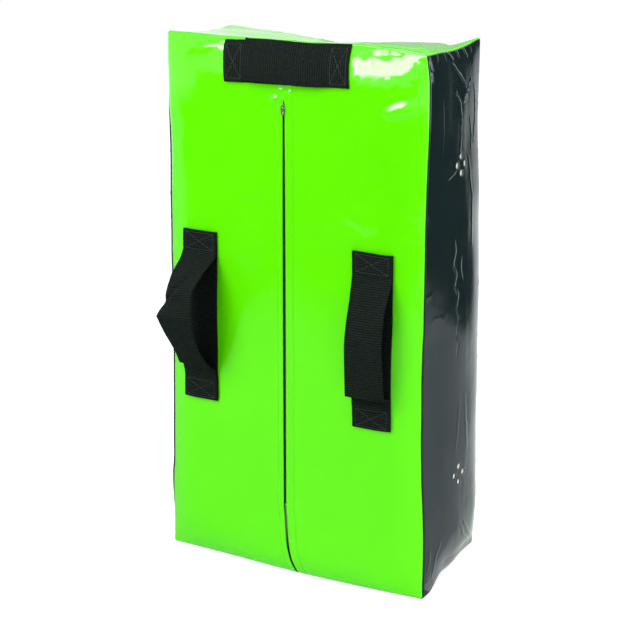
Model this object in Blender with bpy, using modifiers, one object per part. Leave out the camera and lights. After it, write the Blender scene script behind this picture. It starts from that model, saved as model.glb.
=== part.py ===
# A tackle wedge: a foam block in a coated fabric cover that closes with a long zip,
# with a webbing grip down each side of the zip and one across the top.
# Metres, +Z up. The zip face looks along -Y and the strike face along +Y. X runs to the
# right as the zip face is seen. The origin is on the floor, under the middle of the seams.
#
# Every sewn or foam piece is first laid out on a plain box and then moved onto the
# stuffed shape by the one function shaped(), so neighbours stay clear of each other.

import math

import bmesh
import bpy
from mathutils import Matrix, Vector

# The block, seam to seam
HEIGHT = 0.650
WIDTH_AT_TOP = 0.346
WIDTH_AT_BASE = 0.358
DEPTH = 0.134

# The stuffed shape
ZIP_FACE_CROWN = 0.020
STRIKE_FACE_CROWN = 0.020
CROWN_ROLL = 0.070  # how far in from a seam the two faces have risen fully
SIDE_CROWN = 0.005
TOP_BOW = 0.0035  # rise of the top seams in the middle of the width
TOP_DIP = 0.006  # sag of the top between its two long seams
TOP_FADE = 0.090  # how far down the shape of the top reaches
BASE_LIFT = 0.024  # how far the base seams stand off the floor
BASE_SIDE_ROLL = 0.035
BASE_REAR_ROLL = 0.038
BASE_FRONT_FADE = 0.055  # the side seams come down to the floor over this, at the zip face
BASE_FADE = 0.110  # how far up the shape of the base reaches
SKIN_ZONE = 0.012  # under each face, this much moves with it and isn't stretched

# The cover and its filling
CLEARANCE = 0.0003
COVER_THICKNESS = 0.0010
STRIKE_FOAM_THICKNESS = 0.030
VENT_RADIUS = 0.004
VENT_SIDES = 12
VENT_SPREAD = 0.010  # from the middle of a group of four to each hole
VENT_FROM_TOP = 0.138
VENT_FROM_BASE = 0.135
VENT_TO_STRIKE_SIDE = 0.009

# The webbing grips
WEBBING_WIDTH = 0.050
WEBBING_THICKNESS = 0.0018
SEWN_END = 0.026
SIDE_GRIP_LENGTH = 0.211
SIDE_GRIP_SPACING = 0.238
SIDE_GRIP_FROM_TOP = 0.231
LEFT_GRIP_STANDOFF = 0.056
RIGHT_GRIP_STANDOFF = 0.022
TOP_GRIP_LENGTH = 0.168
TOP_GRIP_FROM_TOP = 0.001
TOP_GRIP_STANDOFF = 0.014
THREAD_WIDTH = 0.0014
THREAD_HEIGHT = 0.0005
STITCH_MARGIN = 0.0045

# The zip
SLIT_WIDTH = 0.004
SLIT_FROM_TOP = 0.065
TAPE_THICKNESS = 0.0006
TAPE_WIDTH = 0.015
TAPE_PAST_SLIT = 0.012
TAPE_STEP = 0.003  # width over which a tape steps back to the teeth
CHAIN_WIDTH = 0.0018
CHAIN_THICKNESS = 0.0018
CHAIN_GAP = 0.0018  # between the two rows, for the slider's bridge
STOP_HEIGHT = 0.003
STOP_FROM_BASE = 0.088
SLIDER_WIDTH = 0.009
SLIDER_HEIGHT = 0.012
SLIDER_PLATE = 0.0007
SLIDER_PLAY = 0.00025
BRIDGE_WIDTH = 0.0010
BRIDGE_HEIGHT = 0.003
BAIL_HOLE_RADIUS = 0.00085
BAIL_RADIUS = 0.00175
BAIL_WIDTH = 0.0016
BAIL_STANDOFF = 0.0020
PULL_WIDTH = 0.0044
PULL_LENGTH = 0.012
PULL_THICKNESS = 0.0010
PULL_SLOT_WIDTH = 0.0026

# What follows from them
WIDTH = (WIDTH_AT_TOP + WIDTH_AT_BASE) / 2
HALF_WIDTH = WIDTH / 2
HALF_DEPTH = DEPTH / 2
COVER_BOTTOM = COVER_THICKNESS + CLEARANCE
COVER_TOP = HEIGHT - COVER_THICKNESS - CLEARANCE
INNER_HALF_WIDTH = HALF_WIDTH - COVER_THICKNESS - CLEARANCE
FOAM_FRONT = -HALF_DEPTH + COVER_THICKNESS + CLEARANCE
FOAM_BACK = HALF_DEPTH - COVER_THICKNESS - CLEARANCE
FOAM_SPLIT = FOAM_BACK - STRIKE_FOAM_THICKNESS

PLATE_FRONT = -HALF_DEPTH + COVER_THICKNESS + SLIDER_PLAY
CHAIN_FRONT = PLATE_FRONT + SLIDER_PLATE + SLIDER_PLAY
CHAIN_BACK = CHAIN_FRONT + CHAIN_THICKNESS
PLATE_BACK = CHAIN_BACK + SLIDER_PLAY + SLIDER_PLATE
CHAIN_MIDDLE = (CHAIN_FRONT + CHAIN_BACK) / 2
CHAIN_OUTER = CHAIN_GAP / 2 + CHAIN_WIDTH
TAPE_INNER = CHAIN_OUTER + CLEARANCE
TAPE_STEP_START = SLIDER_WIDTH / 2 + 3 * CLEARANCE
TAPE_STEP_END = TAPE_STEP_START + TAPE_STEP
TAPE_SEAT = -HALF_DEPTH + COVER_THICKNESS + CLEARANCE + TAPE_THICKNESS / 2
SLIT_TOP = HEIGHT - SLIT_FROM_TOP
SLIDER_TOP = SLIT_TOP - 5 * CLEARANCE
SLIDER_MIDDLE = SLIDER_TOP - SLIDER_HEIGHT / 2
STOP_TOP_START = SLIDER_TOP + 2 * CLEARANCE
CHAIN_BOTTOM = STOP_FROM_BASE + STOP_HEIGHT + CLEARANCE
PULL_HEIGHT = SLIDER_MIDDLE + SLIDER_HEIGHT / 6

# A grip's line from its first sewn end to its second: the share of the free length
# gone, and the share of the stand-off reached. The last point is the crease that the
# slack webbing folds at.
BULGED_GRIP = (
    (0.14, 0.35),
    (0.25, 0.80),
    (0.37, 0.96),
    (0.47, 1.0),
    (0.60, 0.77),
    (0.78, 0.42),
    (0.91, 0.20),
)
FLAT_GRIP = (
    (0.10, 0.30),
    (0.18, 0.60),
    (0.28, 0.82),
    (0.42, 1.0),
    (0.58, 0.98),
    (0.78, 0.86),
    (0.89, 0.66),
)
GRIP_STEPS = 3


def clamped(value, low=0.0, high=1.0):
    return max(low, min(high, value))


def risen(distance):
    # 0 at a seam, 1 where the face has risen fully
    return 1 - (1 - clamped(distance / CROWN_ROLL)) ** 3


def smooth(share):
    share = clamped(share)
    return share * share * (3 - 2 * share)


def base_lift(x, y):
    side = clamped((abs(x) - HALF_WIDTH + BASE_SIDE_ROLL) / BASE_SIDE_ROLL) ** 2
    side *= smooth((y + HALF_DEPTH) / BASE_FRONT_FADE)
    rear = clamped((y - HALF_DEPTH + BASE_REAR_ROLL) / BASE_REAR_ROLL) ** 2
    return BASE_LIFT * (1 - (1 - side) * (1 - rear))


def shaped(point):
    # A point of the plain box, moved to where the stuffed cover takes it
    x, y, z = point
    end_rise = risen(min(z, HEIGHT - z))
    crown = risen(HALF_WIDTH - abs(x)) * end_rise
    to_strike_face = clamped((y + HALF_DEPTH - SKIN_ZONE) / (DEPTH - 2 * SKIN_ZONE))
    forward = ZIP_FACE_CROWN * (1 - to_strike_face) - STRIKE_FACE_CROWN * to_strike_face

    across = clamped(x / HALF_WIDTH, -1, 1)
    deep = clamped(y / HALF_DEPTH, -1, 1)
    outward = clamped(x / (HALF_WIDTH - SKIN_ZONE), -1, 1)
    width_here = WIDTH_AT_BASE + (WIDTH_AT_TOP - WIDTH_AT_BASE) * clamped(z / HEIGHT)

    top_share = clamped((z - HEIGHT + TOP_FADE) / (TOP_FADE - SKIN_ZONE)) ** 2
    base_share = clamped((BASE_FADE - z) / (BASE_FADE - SKIN_ZONE)) ** 2
    top_rise = TOP_BOW * (1 - across**2) - TOP_DIP * (1 - deep**2)
    return Vector(
        (
            x * width_here / WIDTH + SIDE_CROWN * outward * (1 - deep**2) * end_rise,
            y - forward * crown,
            z + top_rise * top_share + base_lift(x, y) * base_share,
        )
    )


def bend_lines():
    # Where a piece needs an edge, along each axis, to follow the stuffed shape
    xs = {0.0}
    for side in (-1, 1):
        xs |= {side * (HALF_WIDTH - CROWN_ROLL * k / 8) for k in range(1, 9)}
        xs |= {side * (HALF_WIDTH - CROWN_ROLL) * k / 3 for k in (1, 2)}
        xs |= {side * (HALF_WIDTH - BASE_SIDE_ROLL), side * INNER_HALF_WIDTH}
    ys = {-HALF_DEPTH + SKIN_ZONE, HALF_DEPTH - SKIN_ZONE, FOAM_FRONT, FOAM_SPLIT, FOAM_BACK}
    ys |= {-HALF_DEPTH + BASE_FRONT_FADE * k / 3 for k in (1, 2, 3)}
    ys |= {HALF_DEPTH - BASE_REAR_ROLL * k / 3 for k in (2, 3)}
    zs = {BASE_FADE, HEIGHT - TOP_FADE, HEIGHT / 2, COVER_BOTTOM, COVER_TOP}
    zs |= {CROWN_ROLL * k / 5 for k in range(1, 6)}
    zs |= {HEIGHT - CROWN_ROLL * k / 5 for k in range(1, 6)}
    return sorted(xs), sorted(ys), sorted(zs)


def collection(name):
    made = bpy.data.collections.new(name)
    bpy.context.scene.collection.children.link(made)
    return made


def material(name, colour, roughness, metallic=0.0):
    made = bpy.data.materials.new(name)
    made.use_nodes = True
    shader = made.node_tree.nodes["Principled BSDF"]
    shader.inputs["Base Color"].default_value = (*colour, 1.0)
    shader.inputs["Roughness"].default_value = roughness
    shader.inputs["Metallic"].default_value = metallic
    return made


def box(low, high):
    low, high = Vector(low), Vector(high)
    bm = bmesh.new()
    place = Matrix.Translation((low + high) / 2) @ Matrix.Diagonal((*(high - low), 1))
    bmesh.ops.create_cube(bm, size=1, matrix=place)
    return bm


def rod(start, axis, radius, length, segments=16):
    turn = Vector((0, 0, 1)).rotation_difference(Vector(axis)).to_matrix().to_4x4()
    middle = Vector(start) + Vector(axis) * length / 2
    bm = bmesh.new()
    bmesh.ops.create_cone(
        bm,
        cap_ends=True,
        segments=segments,
        radius1=radius,
        radius2=radius,
        depth=length,
        matrix=Matrix.Translation(middle) @ turn,
    )
    return bm


def outline(loops, thickness):
    # A flat plate from closed outlines; an outline inside another is a hole
    curve = bpy.data.curves.new("outline", "CURVE")
    curve.dimensions = "2D"
    curve.fill_mode = "BOTH"
    curve.extrude = thickness / 2
    for loop in loops:
        spline = curve.splines.new("POLY")
        spline.points.add(len(loop) - 1)
        for point, (x, y) in zip(spline.points, loop):
            point.co = (x, y, 0, 1)
        spline.use_cyclic_u = True
    return solid_of(bpy.data.objects.new("outline", curve))


def solid_of(holder):
    # The holder's evaluated mesh as one welded bmesh; the holder is removed
    bpy.context.scene.collection.objects.link(holder)
    graph = bpy.context.evaluated_depsgraph_get()
    mesh = bpy.data.meshes.new_from_object(holder.evaluated_get(graph))
    bm = bmesh.new()
    bm.from_mesh(mesh)
    bmesh.ops.remove_doubles(bm, verts=bm.verts, dist=0.000001)
    bpy.data.objects.remove(holder)
    bpy.data.meshes.remove(mesh)
    return bm


def held(bm, name="holder"):
    mesh = bpy.data.meshes.new(name)
    bm.to_mesh(mesh)
    bm.free()
    return bpy.data.objects.new(name, mesh)


def combined(bm, others, operation):
    # The solid with each of the others cut from it, or joined to it
    for other in others:
        tool = held(other)
        bpy.context.scene.collection.objects.link(tool)
        holder = held(bm)
        change = holder.modifiers.new(operation, "BOOLEAN")
        change.operation = operation
        change.object = tool
        bm = solid_of(holder)
        bpy.data.objects.remove(tool)
    return bm


def ribbon(path, width, thickness):
    # A strip of webbing or tape whose middle follows the path in X and Y; its width is along Z
    bm = bmesh.new()
    line = [bm.verts.new((x, y, -width / 2)) for x, y in path]
    edges = [bm.edges.new(pair) for pair in zip(line, line[1:])]
    drawn = bmesh.ops.extrude_edge_only(bm, edges=edges)["geom"]
    moved = [item for item in drawn if isinstance(item, bmesh.types.BMVert)]
    bmesh.ops.translate(bm, verts=moved, vec=(0, 0, width))
    holder = held(bm)
    wall = holder.modifiers.new("thickness", "SOLIDIFY")
    wall.thickness = thickness
    wall.offset = 0
    wall.use_even_offset = True
    bm = solid_of(holder)
    bmesh.ops.recalc_face_normals(bm, faces=bm.faces)
    return bm


def add_piece(name, bm, finish, place=None):
    mesh = bpy.data.meshes.new(name)
    bm.to_mesh(mesh)
    bm.free()
    mesh.materials.append(finish)
    piece = bpy.data.objects.new(name, mesh)
    wedge.objects.link(piece)
    if place is not None:
        piece.location = place
    return piece


def split_quads(bm):
    # Each four-sided face is split from its corner nearest the block's middle, so faces
    # that lie on one another bend alike
    middle = Vector((0, 0, HEIGHT / 2))
    for face in bm.faces[:]:
        corners = list(face.verts)
        if len(corners) == 4:
            nearest = min(range(4), key=lambda k: (corners[k].co - middle).length)
            bmesh.utils.face_split(face, corners[nearest], corners[nearest - 2])


def add_sewn(name, bm, finish):
    # Cuts the solid along the bend lines, moves it onto the stuffed shape and adds it
    for axis, lines in enumerate(bend_lines()):
        normal = Vector((0, 0, 0))
        normal[axis] = 1
        for position in lines:
            bmesh.ops.bisect_plane(
                bm,
                geom=bm.verts[:] + bm.edges[:] + bm.faces[:],
                dist=0.000001,
                plane_co=normal * position,
                plane_no=normal,
            )
    split_quads(bm)
    for vert in bm.verts:
        vert.co = shaped(vert.co)
    bmesh.ops.triangulate(bm, faces=bm.faces[:])
    return add_piece(name, bm, finish)


def add_cover():
    # The top and base panels span the whole outline, the side panels the whole depth
    # between them, and the two faces fit between the side panels
    zip_panel = box(
        (-INNER_HALF_WIDTH, -HALF_DEPTH, COVER_BOTTOM),
        (INNER_HALF_WIDTH, -HALF_DEPTH + COVER_THICKNESS, COVER_TOP),
    )
    slit = box((-SLIT_WIDTH / 2, -DEPTH, -HEIGHT), (SLIT_WIDTH / 2, 0, SLIT_TOP))
    add_sewn("zip_face_panel", combined(zip_panel, [slit], "DIFFERENCE"), green_cover)

    strike_panel = box(
        (-INNER_HALF_WIDTH, HALF_DEPTH - COVER_THICKNESS, COVER_BOTTOM),
        (INNER_HALF_WIDTH, HALF_DEPTH, COVER_TOP),
    )
    add_sewn("strike_face_panel", strike_panel, green_cover)

    corner = (HALF_WIDTH, HALF_DEPTH, HEIGHT)
    add_sewn("top_panel", box((-HALF_WIDTH, -HALF_DEPTH, HEIGHT - COVER_THICKNESS), corner), green_cover)
    corner = (HALF_WIDTH, HALF_DEPTH, COVER_THICKNESS)
    add_sewn("base_panel", box((-HALF_WIDTH, -HALF_DEPTH, 0), corner), black_cover)

    for name, side in (("left", -1), ("right", 1)):
        near, far = sorted((side * HALF_WIDTH, side * (HALF_WIDTH - COVER_THICKNESS)))
        panel = box((near, -HALF_DEPTH, COVER_BOTTOM), (far, HALF_DEPTH, COVER_TOP))
        add_sewn(f"side_panel_{name}", combined(panel, vents(side), "DIFFERENCE"), black_cover)


def vents(side):
    # Two groups of four holes, each group a diamond
    holes = []
    for height in (VENT_FROM_BASE, HEIGHT - VENT_FROM_TOP):
        for quarter in range(4):
            turn = quarter * math.pi / 2
            y = VENT_TO_STRIKE_SIDE + VENT_SPREAD * math.cos(turn)
            z = height + VENT_SPREAD * math.sin(turn)
            start = (side * (HALF_WIDTH - SKIN_ZONE), y, z)
            holes.append(rod(start, (side, 0, 0), VENT_RADIUS, 2 * SKIN_ZONE, VENT_SIDES))
    return holes


def add_filling():
    # A firm block, recessed behind the zip's tapes and deeper behind its slider, and the
    # softer layer bonded on its strike side
    block = box(
        (-INNER_HALF_WIDTH, FOAM_FRONT, COVER_BOTTOM),
        (INNER_HALF_WIDTH, FOAM_SPLIT - CLEARANCE, COVER_TOP),
    )
    recess_top = SLIT_TOP + TAPE_PAST_SLIT + CLEARANCE
    tape_reach = TAPE_INNER + TAPE_WIDTH + CLEARANCE
    tape_depth = TAPE_SEAT + TAPE_THICKNESS / 2 + CLEARANCE
    slider_reach, slider_depth = TAPE_STEP_END + CLEARANCE, PLATE_BACK + CLEARANCE
    recesses = [
        box((-tape_reach, -DEPTH, -HEIGHT), (tape_reach, tape_depth, recess_top)),
        box((-slider_reach, -DEPTH, -HEIGHT), (slider_reach, slider_depth, recess_top)),
    ]
    add_sewn("foam_block", combined(block, recesses, "DIFFERENCE"), firm_foam)
    layer = box((-INNER_HALF_WIDTH, FOAM_SPLIT, COVER_BOTTOM), (INNER_HALF_WIDTH, FOAM_BACK, COVER_TOP))
    add_sewn("foam_strike_layer", layer, soft_foam)


def smooth_run(points, start_direction, end_direction, steps):
    # Points along a smooth line through the given ones, leaving and arriving as told
    points = [Vector(point) for point in points]
    tangents = [(after - before) / 2 for before, after in zip(points, points[2:])]
    first = (points[1] - points[0]).length
    last = (points[-1] - points[-2]).length
    tangents = [Vector(start_direction) * first] + tangents + [Vector(end_direction) * last]
    run = []
    for start, end, leave, arrive in zip(points, points[1:], tangents, tangents[1:]):
        for step in range(steps):
            t = step / steps
            run.append(
                start * (2 * t**3 - 3 * t**2 + 1)
                + leave * (t**3 - 2 * t**2 + t)
                + end * (3 * t**2 - 2 * t**3)
                + arrive * (t**3 - t**2)
            )
    return run + [points[-1]]


def grip_path(length, standoff, line):
    free = length - 2 * SEWN_END
    points = [(SEWN_END, 0)] + [(SEWN_END + share * free, rise * standoff) for share, rise in line]
    crease = Vector(points[-1])
    into_crease = (crease - Vector(points[-2])).normalized()
    far_end = Vector((length - SEWN_END, 0))
    loop = smooth_run(points, (1, 0), into_crease, GRIP_STEPS)
    return [Vector((0, 0))] + loop + [far_end, Vector((length, 0))]


def cross_stitch(length, width):
    # A sewn box with a cross in it, as one flat plate of thread
    half_x, half_y = length / 2 - THREAD_WIDTH, width / 2 - THREAD_WIDTH
    diagonal = math.hypot(half_x, half_y)
    gap_y = THREAD_WIDTH * diagonal / (2 * half_x)
    gap_x = THREAD_WIDTH * diagonal / (2 * half_y)
    reach_x, reach_y = half_x - gap_x, half_y - gap_y
    loops = [[(length / 2 * i, width / 2 * j) for i, j in ((-1, -1), (1, -1), (1, 1), (-1, 1))]]
    for side in (-1, 1):
        loops.append([(0, side * gap_y), (reach_x, side * half_y), (-reach_x, side * half_y)])
        loops.append([(side * gap_x, 0), (side * half_x, reach_y), (side * half_x, -reach_y)])
    return outline(loops, THREAD_HEIGHT)


def add_grip(name, start, along, length, standoff, line):
    # A base strip, the grip sewn over it at both ends, and the stitching on each end
    along, forward = Vector(along), Vector((0, -1, 0))
    columns = Matrix((along, forward, along.cross(forward))).transposed().to_4x4()

    def placed(bm, lift, shift=0.0):
        bm.transform(Matrix.Translation(start) @ columns @ Matrix.Translation((shift, lift, 0)))
        return bm

    seat = CLEARANCE + WEBBING_THICKNESS / 2
    over = seat + CLEARANCE + WEBBING_THICKNESS
    straight = [(0, 0), (length, 0)]
    add_sewn(f"{name}_base", placed(ribbon(straight, WEBBING_WIDTH, WEBBING_THICKNESS), seat), webbing)
    path = grip_path(length, standoff, line)
    add_sewn(f"{name}_loop", placed(ribbon(path, WEBBING_WIDTH, WEBBING_THICKNESS), over), webbing)

    stitch_lift = over + WEBBING_THICKNESS / 2 + CLEARANCE + THREAD_HEIGHT / 2
    lay_flat = Matrix.Rotation(-math.pi / 2, 4, "X")
    for end, middle in (("first", SEWN_END / 2), ("second", length - SEWN_END / 2)):
        stitch = cross_stitch(SEWN_END - 2 * THREAD_WIDTH, WEBBING_WIDTH - 2 * STITCH_MARGIN)
        stitch.transform(lay_flat)
        add_sewn(f"{name}_stitch_{end}", placed(stitch, stitch_lift, middle), thread)


def add_grips():
    top_of_sides = HEIGHT - SIDE_GRIP_FROM_TOP
    for name, side, standoff, line in (
        ("left_grip", -1, LEFT_GRIP_STANDOFF, BULGED_GRIP),
        ("right_grip", 1, RIGHT_GRIP_STANDOFF, FLAT_GRIP),
    ):
        start = (side * SIDE_GRIP_SPACING / 2, -HALF_DEPTH, top_of_sides)
        add_grip(name, start, (0, 0, -1), SIDE_GRIP_LENGTH, standoff, line)
    start = (TOP_GRIP_LENGTH / 2, -HALF_DEPTH, HEIGHT - TOP_GRIP_FROM_TOP - WEBBING_WIDTH / 2)
    add_grip("top_grip", start, (-1, 0, 0), TOP_GRIP_LENGTH, TOP_GRIP_STANDOFF, FLAT_GRIP)


def add_zip():
    tape_top = SLIT_TOP + TAPE_PAST_SLIT
    stop_front, stop_back = PLATE_FRONT + CLEARANCE / 2, PLATE_BACK - CLEARANCE / 2
    for name, side in (("left", -1), ("right", 1)):
        path = [
            (side * TAPE_INNER, CHAIN_MIDDLE),
            (side * TAPE_STEP_START, CHAIN_MIDDLE),
            (side * TAPE_STEP_END, TAPE_SEAT),
            (side * (TAPE_INNER + TAPE_WIDTH), TAPE_SEAT),
        ]
        tape = ribbon(path, tape_top - COVER_BOTTOM, TAPE_THICKNESS)
        tape.transform(Matrix.Translation((0, 0, (tape_top + COVER_BOTTOM) / 2)))
        add_sewn(f"zip_tape_{name}", tape, zip_fabric)

        near, far = sorted((side * CHAIN_GAP / 2, side * CHAIN_OUTER))
        teeth = box((near, CHAIN_FRONT, CHAIN_BOTTOM), (far, CHAIN_BACK, SLIDER_TOP + CLEARANCE))
        add_sewn(f"zip_teeth_{name}", teeth, zip_plastic)
        stop = box((near, stop_front, STOP_TOP_START), (far, stop_back, STOP_TOP_START + STOP_HEIGHT))
        add_sewn(f"zip_top_stop_{name}", stop, zip_metal)
    stop = box(
        (-CHAIN_OUTER, stop_front, STOP_FROM_BASE),
        (CHAIN_OUTER, stop_back, STOP_FROM_BASE + STOP_HEIGHT),
    )
    add_sewn("zip_bottom_stop", stop, zip_metal)
    add_slider()


def add_slider():
    # Built around its own middle; the pull hangs from the bail on its front
    middle = shaped((0, CHAIN_MIDDLE, SLIDER_MIDDLE))
    hinge = shaped((0, -HALF_DEPTH - BAIL_STANDOFF, PULL_HEIGHT))
    bail_y, bail_z = hinge.y - middle.y, hinge.z - middle.z
    half_gap = CHAIN_THICKNESS / 2 + SLIDER_PLAY
    half_width, half_height = SLIDER_WIDTH / 2, SLIDER_HEIGHT / 2

    plates = []
    for side in (-1, 1):
        near, far = sorted((side * half_gap, side * (half_gap + SLIDER_PLATE)))
        plates.append(box((-half_width, near, -half_height), (half_width, far, half_height)))
    bridge = box(
        (-BRIDGE_WIDTH / 2, -half_gap - SLIDER_PLATE / 2, half_height - BRIDGE_HEIGHT),
        (BRIDGE_WIDTH / 2, half_gap + SLIDER_PLATE / 2, half_height),
    )
    stem = box(
        (-BAIL_WIDTH / 2, bail_y + BAIL_HOLE_RADIUS, bail_z - BAIL_RADIUS),
        (BAIL_WIDTH / 2, -half_gap - SLIDER_PLATE / 2, bail_z + BAIL_RADIUS),
    )
    ring = rod((-BAIL_WIDTH / 2, bail_y, bail_z), (1, 0, 0), BAIL_RADIUS, BAIL_WIDTH, 20)
    hole = rod((-BAIL_WIDTH, bail_y, bail_z), (1, 0, 0), BAIL_HOLE_RADIUS, 2 * BAIL_WIDTH, 20)
    body = combined(plates[0], [bridge, plates[1], stem, ring], "UNION")
    slider = add_piece("zip_slider", combined(body, [hole], "DIFFERENCE"), zip_metal, middle)

    bar = PULL_THICKNESS / 2
    slot_end = BAIL_RADIUS + 2 * CLEARANCE
    half_pull, half_slot = PULL_WIDTH / 2, PULL_SLOT_WIDTH / 2
    tab = [(-half_pull, bar), (half_pull, bar), (half_pull, -PULL_LENGTH + bar), (half_slot, -PULL_LENGTH)]
    tab += [(-half_slot, -PULL_LENGTH), (-half_pull, -PULL_LENGTH + bar)]
    slot = [(-half_slot, -bar), (half_slot, -bar), (half_slot, -slot_end), (-half_slot, -slot_end)]
    tag = outline([tab, slot], PULL_THICKNESS)
    tag.transform(Matrix.Rotation(math.pi / 2, 4, "X"))
    pull = add_piece("zip_pull", tag, zip_metal)
    pull.parent = slider
    pull.location = hinge - middle


for old in list(bpy.data.objects):
    bpy.data.objects.remove(old)

wedge = collection("tackle_wedge")
green_cover = material("green_coated_fabric", (0.14, 1.0, 0.01), 0.25)
black_cover = material("black_coated_fabric", (0.02, 0.03, 0.03), 0.3)
webbing = material("black_webbing", (0.014, 0.02, 0.02), 0.85)
thread = material("grey_thread", (0.10, 0.12, 0.12), 0.7)
firm_foam = material("firm_foam", (0.80, 0.78, 0.70), 0.95)
soft_foam = material("soft_foam", (0.70, 0.72, 0.75), 0.95)
zip_fabric = material("zip_tape_fabric", (0.01, 0.01, 0.01), 0.9)
zip_plastic = material("zip_teeth_plastic", (0.01, 0.01, 0.01), 0.5)
zip_metal = material("zip_metal", (0.75, 0.75, 0.73), 0.3, 1.0)

add_cover()
add_filling()
add_grips()
add_zip()
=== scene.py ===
import math

import bmesh
import bpy
import numpy as np
from mathutils import Matrix, Vector, noise


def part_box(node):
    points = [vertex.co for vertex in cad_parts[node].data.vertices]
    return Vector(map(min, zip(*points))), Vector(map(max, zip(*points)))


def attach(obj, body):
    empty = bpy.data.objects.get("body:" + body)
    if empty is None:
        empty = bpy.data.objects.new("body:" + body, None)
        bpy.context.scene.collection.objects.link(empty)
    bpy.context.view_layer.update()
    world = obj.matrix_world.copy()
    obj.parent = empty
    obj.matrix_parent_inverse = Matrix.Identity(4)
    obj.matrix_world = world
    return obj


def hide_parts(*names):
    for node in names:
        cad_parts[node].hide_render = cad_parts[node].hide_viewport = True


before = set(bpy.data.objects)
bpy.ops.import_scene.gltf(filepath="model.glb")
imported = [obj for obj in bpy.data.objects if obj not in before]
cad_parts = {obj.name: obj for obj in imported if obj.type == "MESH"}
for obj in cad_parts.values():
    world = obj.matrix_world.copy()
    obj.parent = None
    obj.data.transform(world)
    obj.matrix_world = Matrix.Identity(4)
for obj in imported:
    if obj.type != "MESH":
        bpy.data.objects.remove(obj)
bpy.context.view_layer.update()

# Same frame as the CAD: floor at z 0, zip face along -Y, metres

def newObject(name, data):
    made = bpy.data.objects.new(name, data)
    bpy.context.scene.collection.objects.link(made)
    return made


camera = {
    "place": (1.1330, -1.9366, 0.9209),
    "turn": 0.5345,
    "down": 0.2646,
    "lens": 109.6,
}
lens = bpy.data.cameras.new("camera")
lens.lens, lens.sensor_width = camera["lens"], 36
eye = newObject("camera", lens)
eye.location = camera["place"]
eye.rotation_euler = (math.pi / 2 - camera["down"], 0, camera["turn"])
bpy.context.scene.camera = eye
bpy.context.scene.view_settings.view_transform = "Standard"


# Small helpers

def toLinear(code):
    # sRGB hex to the linear colour that Blender's sockets hold
    parts = [int(code[k:k + 2], 16) / 255 for k in (1, 3, 5)]
    return (*[c / 12.92 if c <= 0.04045 else ((c + 0.055) / 1.055) ** 2.4 for c in parts], 1.0)


def setNode(tree, node, settings=None, links=None):
    # settings go to the node's options or sockets; links feed its sockets, a node by its first output
    for key, value in (settings or {}).items():
        if isinstance(key, str) and hasattr(node, key):
            setattr(node, key, value)
        else:
            node.inputs[key].default_value = toLinear(value) if isinstance(value, str) else value
    for key, source in (links or {}).items():
        tree.links.new(source.outputs[0] if hasattr(source, "outputs") else source, node.inputs[key])
    return node


def addNode(tree, kind, settings=None, links=None):
    return setNode(tree, tree.nodes.new("ShaderNode" + kind), settings, links)


def newMaterial(name, settings):
    # settings are constants on the Principled BSDF's own sockets
    made = bpy.data.materials.new(name)
    made.use_nodes = True
    tree = made.node_tree
    return made, tree, setNode(tree, tree.nodes["Principled BSDF"], settings)


def smoothStep(share):
    share = np.clip(share, 0, 1)
    return share * share * (3 - 2 * share)


def nearTo(distance, zone):
    # 1 at no distance, fading smoothly to 0 at the zone's end
    return smoothStep(1 - distance / zone)


def noiseAt(x, y, z, size, seed):
    # Smooth noise about as wide as size, one value for each point
    shift = Vector((seed * 7.31, seed * 3.77, seed * 5.13))
    return np.array([noise.noise(Vector(p) / size + shift) for p in np.broadcast(x, y, z)])


def throughPoints(points, corners=()):
    # A smooth line through the points, that turns sharply only at the corners
    points = np.array(points, float)
    stops = [0, *corners, len(points) - 1]
    made = []
    for first, last in zip(stops, stops[1:]):
        run = points[first:last + 1]
        run = np.concatenate([[2 * run[0] - run[1]], run, [2 * run[-1] - run[-2]]])
        t = np.linspace(0, last - first, 24 * (last - first) + 1)[:-1]
        k = t.astype(int)
        f = (t - k)[:, None]
        a, b, c, d = (run[k + n] for n in range(4))
        made.append(0.5 * (2 * b + (c - a) * f + (2 * a - 5 * b + 4 * c - d) * f ** 2
                           + (3 * b - a - 3 * c + d) * f ** 3))
    return np.concatenate([*made, points[-1:]])


def smoothAt(at, points):
    # Reads a smooth line through (place, value, value...) points in millimetres, in metres
    line = throughPoints(points) / 1000
    return [np.interp(at, line[:, 0], part) for part in line.T[1:]]


# The stuffed shape, for points laid out on a plain box

block = {
    "height": 0.650,
    "widthTop": 0.346,
    "widthBase": 0.358,
    "depth": 0.134,
    "zipCrown": 0.020,
    "strikeCrown": 0.020,
    "crownRoll": 0.070,
    "sideCrown": 0.005,
    "topBow": 0.0035,
    "topDip": 0.006,
    "topFade": 0.090,
    "baseLift": 0.024,
    "baseSideRoll": 0.035,
    "baseRearRoll": 0.038,
    "baseFrontFade": 0.055,
    "baseFade": 0.110,
    "skinZone": 0.012,
}
height, depth = block["height"], block["depth"]
width = (block["widthTop"] + block["widthBase"]) / 2
halfWidth, halfDepth = width / 2, depth / 2


def risen(distance):
    return 1 - (1 - np.clip(distance / block["crownRoll"], 0, 1)) ** 3


def baseLift(x, y):
    side = np.clip((np.abs(x) - halfWidth + block["baseSideRoll"]) / block["baseSideRoll"], 0, 1) ** 2
    side = side * smoothStep((y + halfDepth) / block["baseFrontFade"])
    rear = np.clip((y - halfDepth + block["baseRearRoll"]) / block["baseRearRoll"], 0, 1) ** 2
    return block["baseLift"] * (1 - (1 - side) * (1 - rear))


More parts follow.
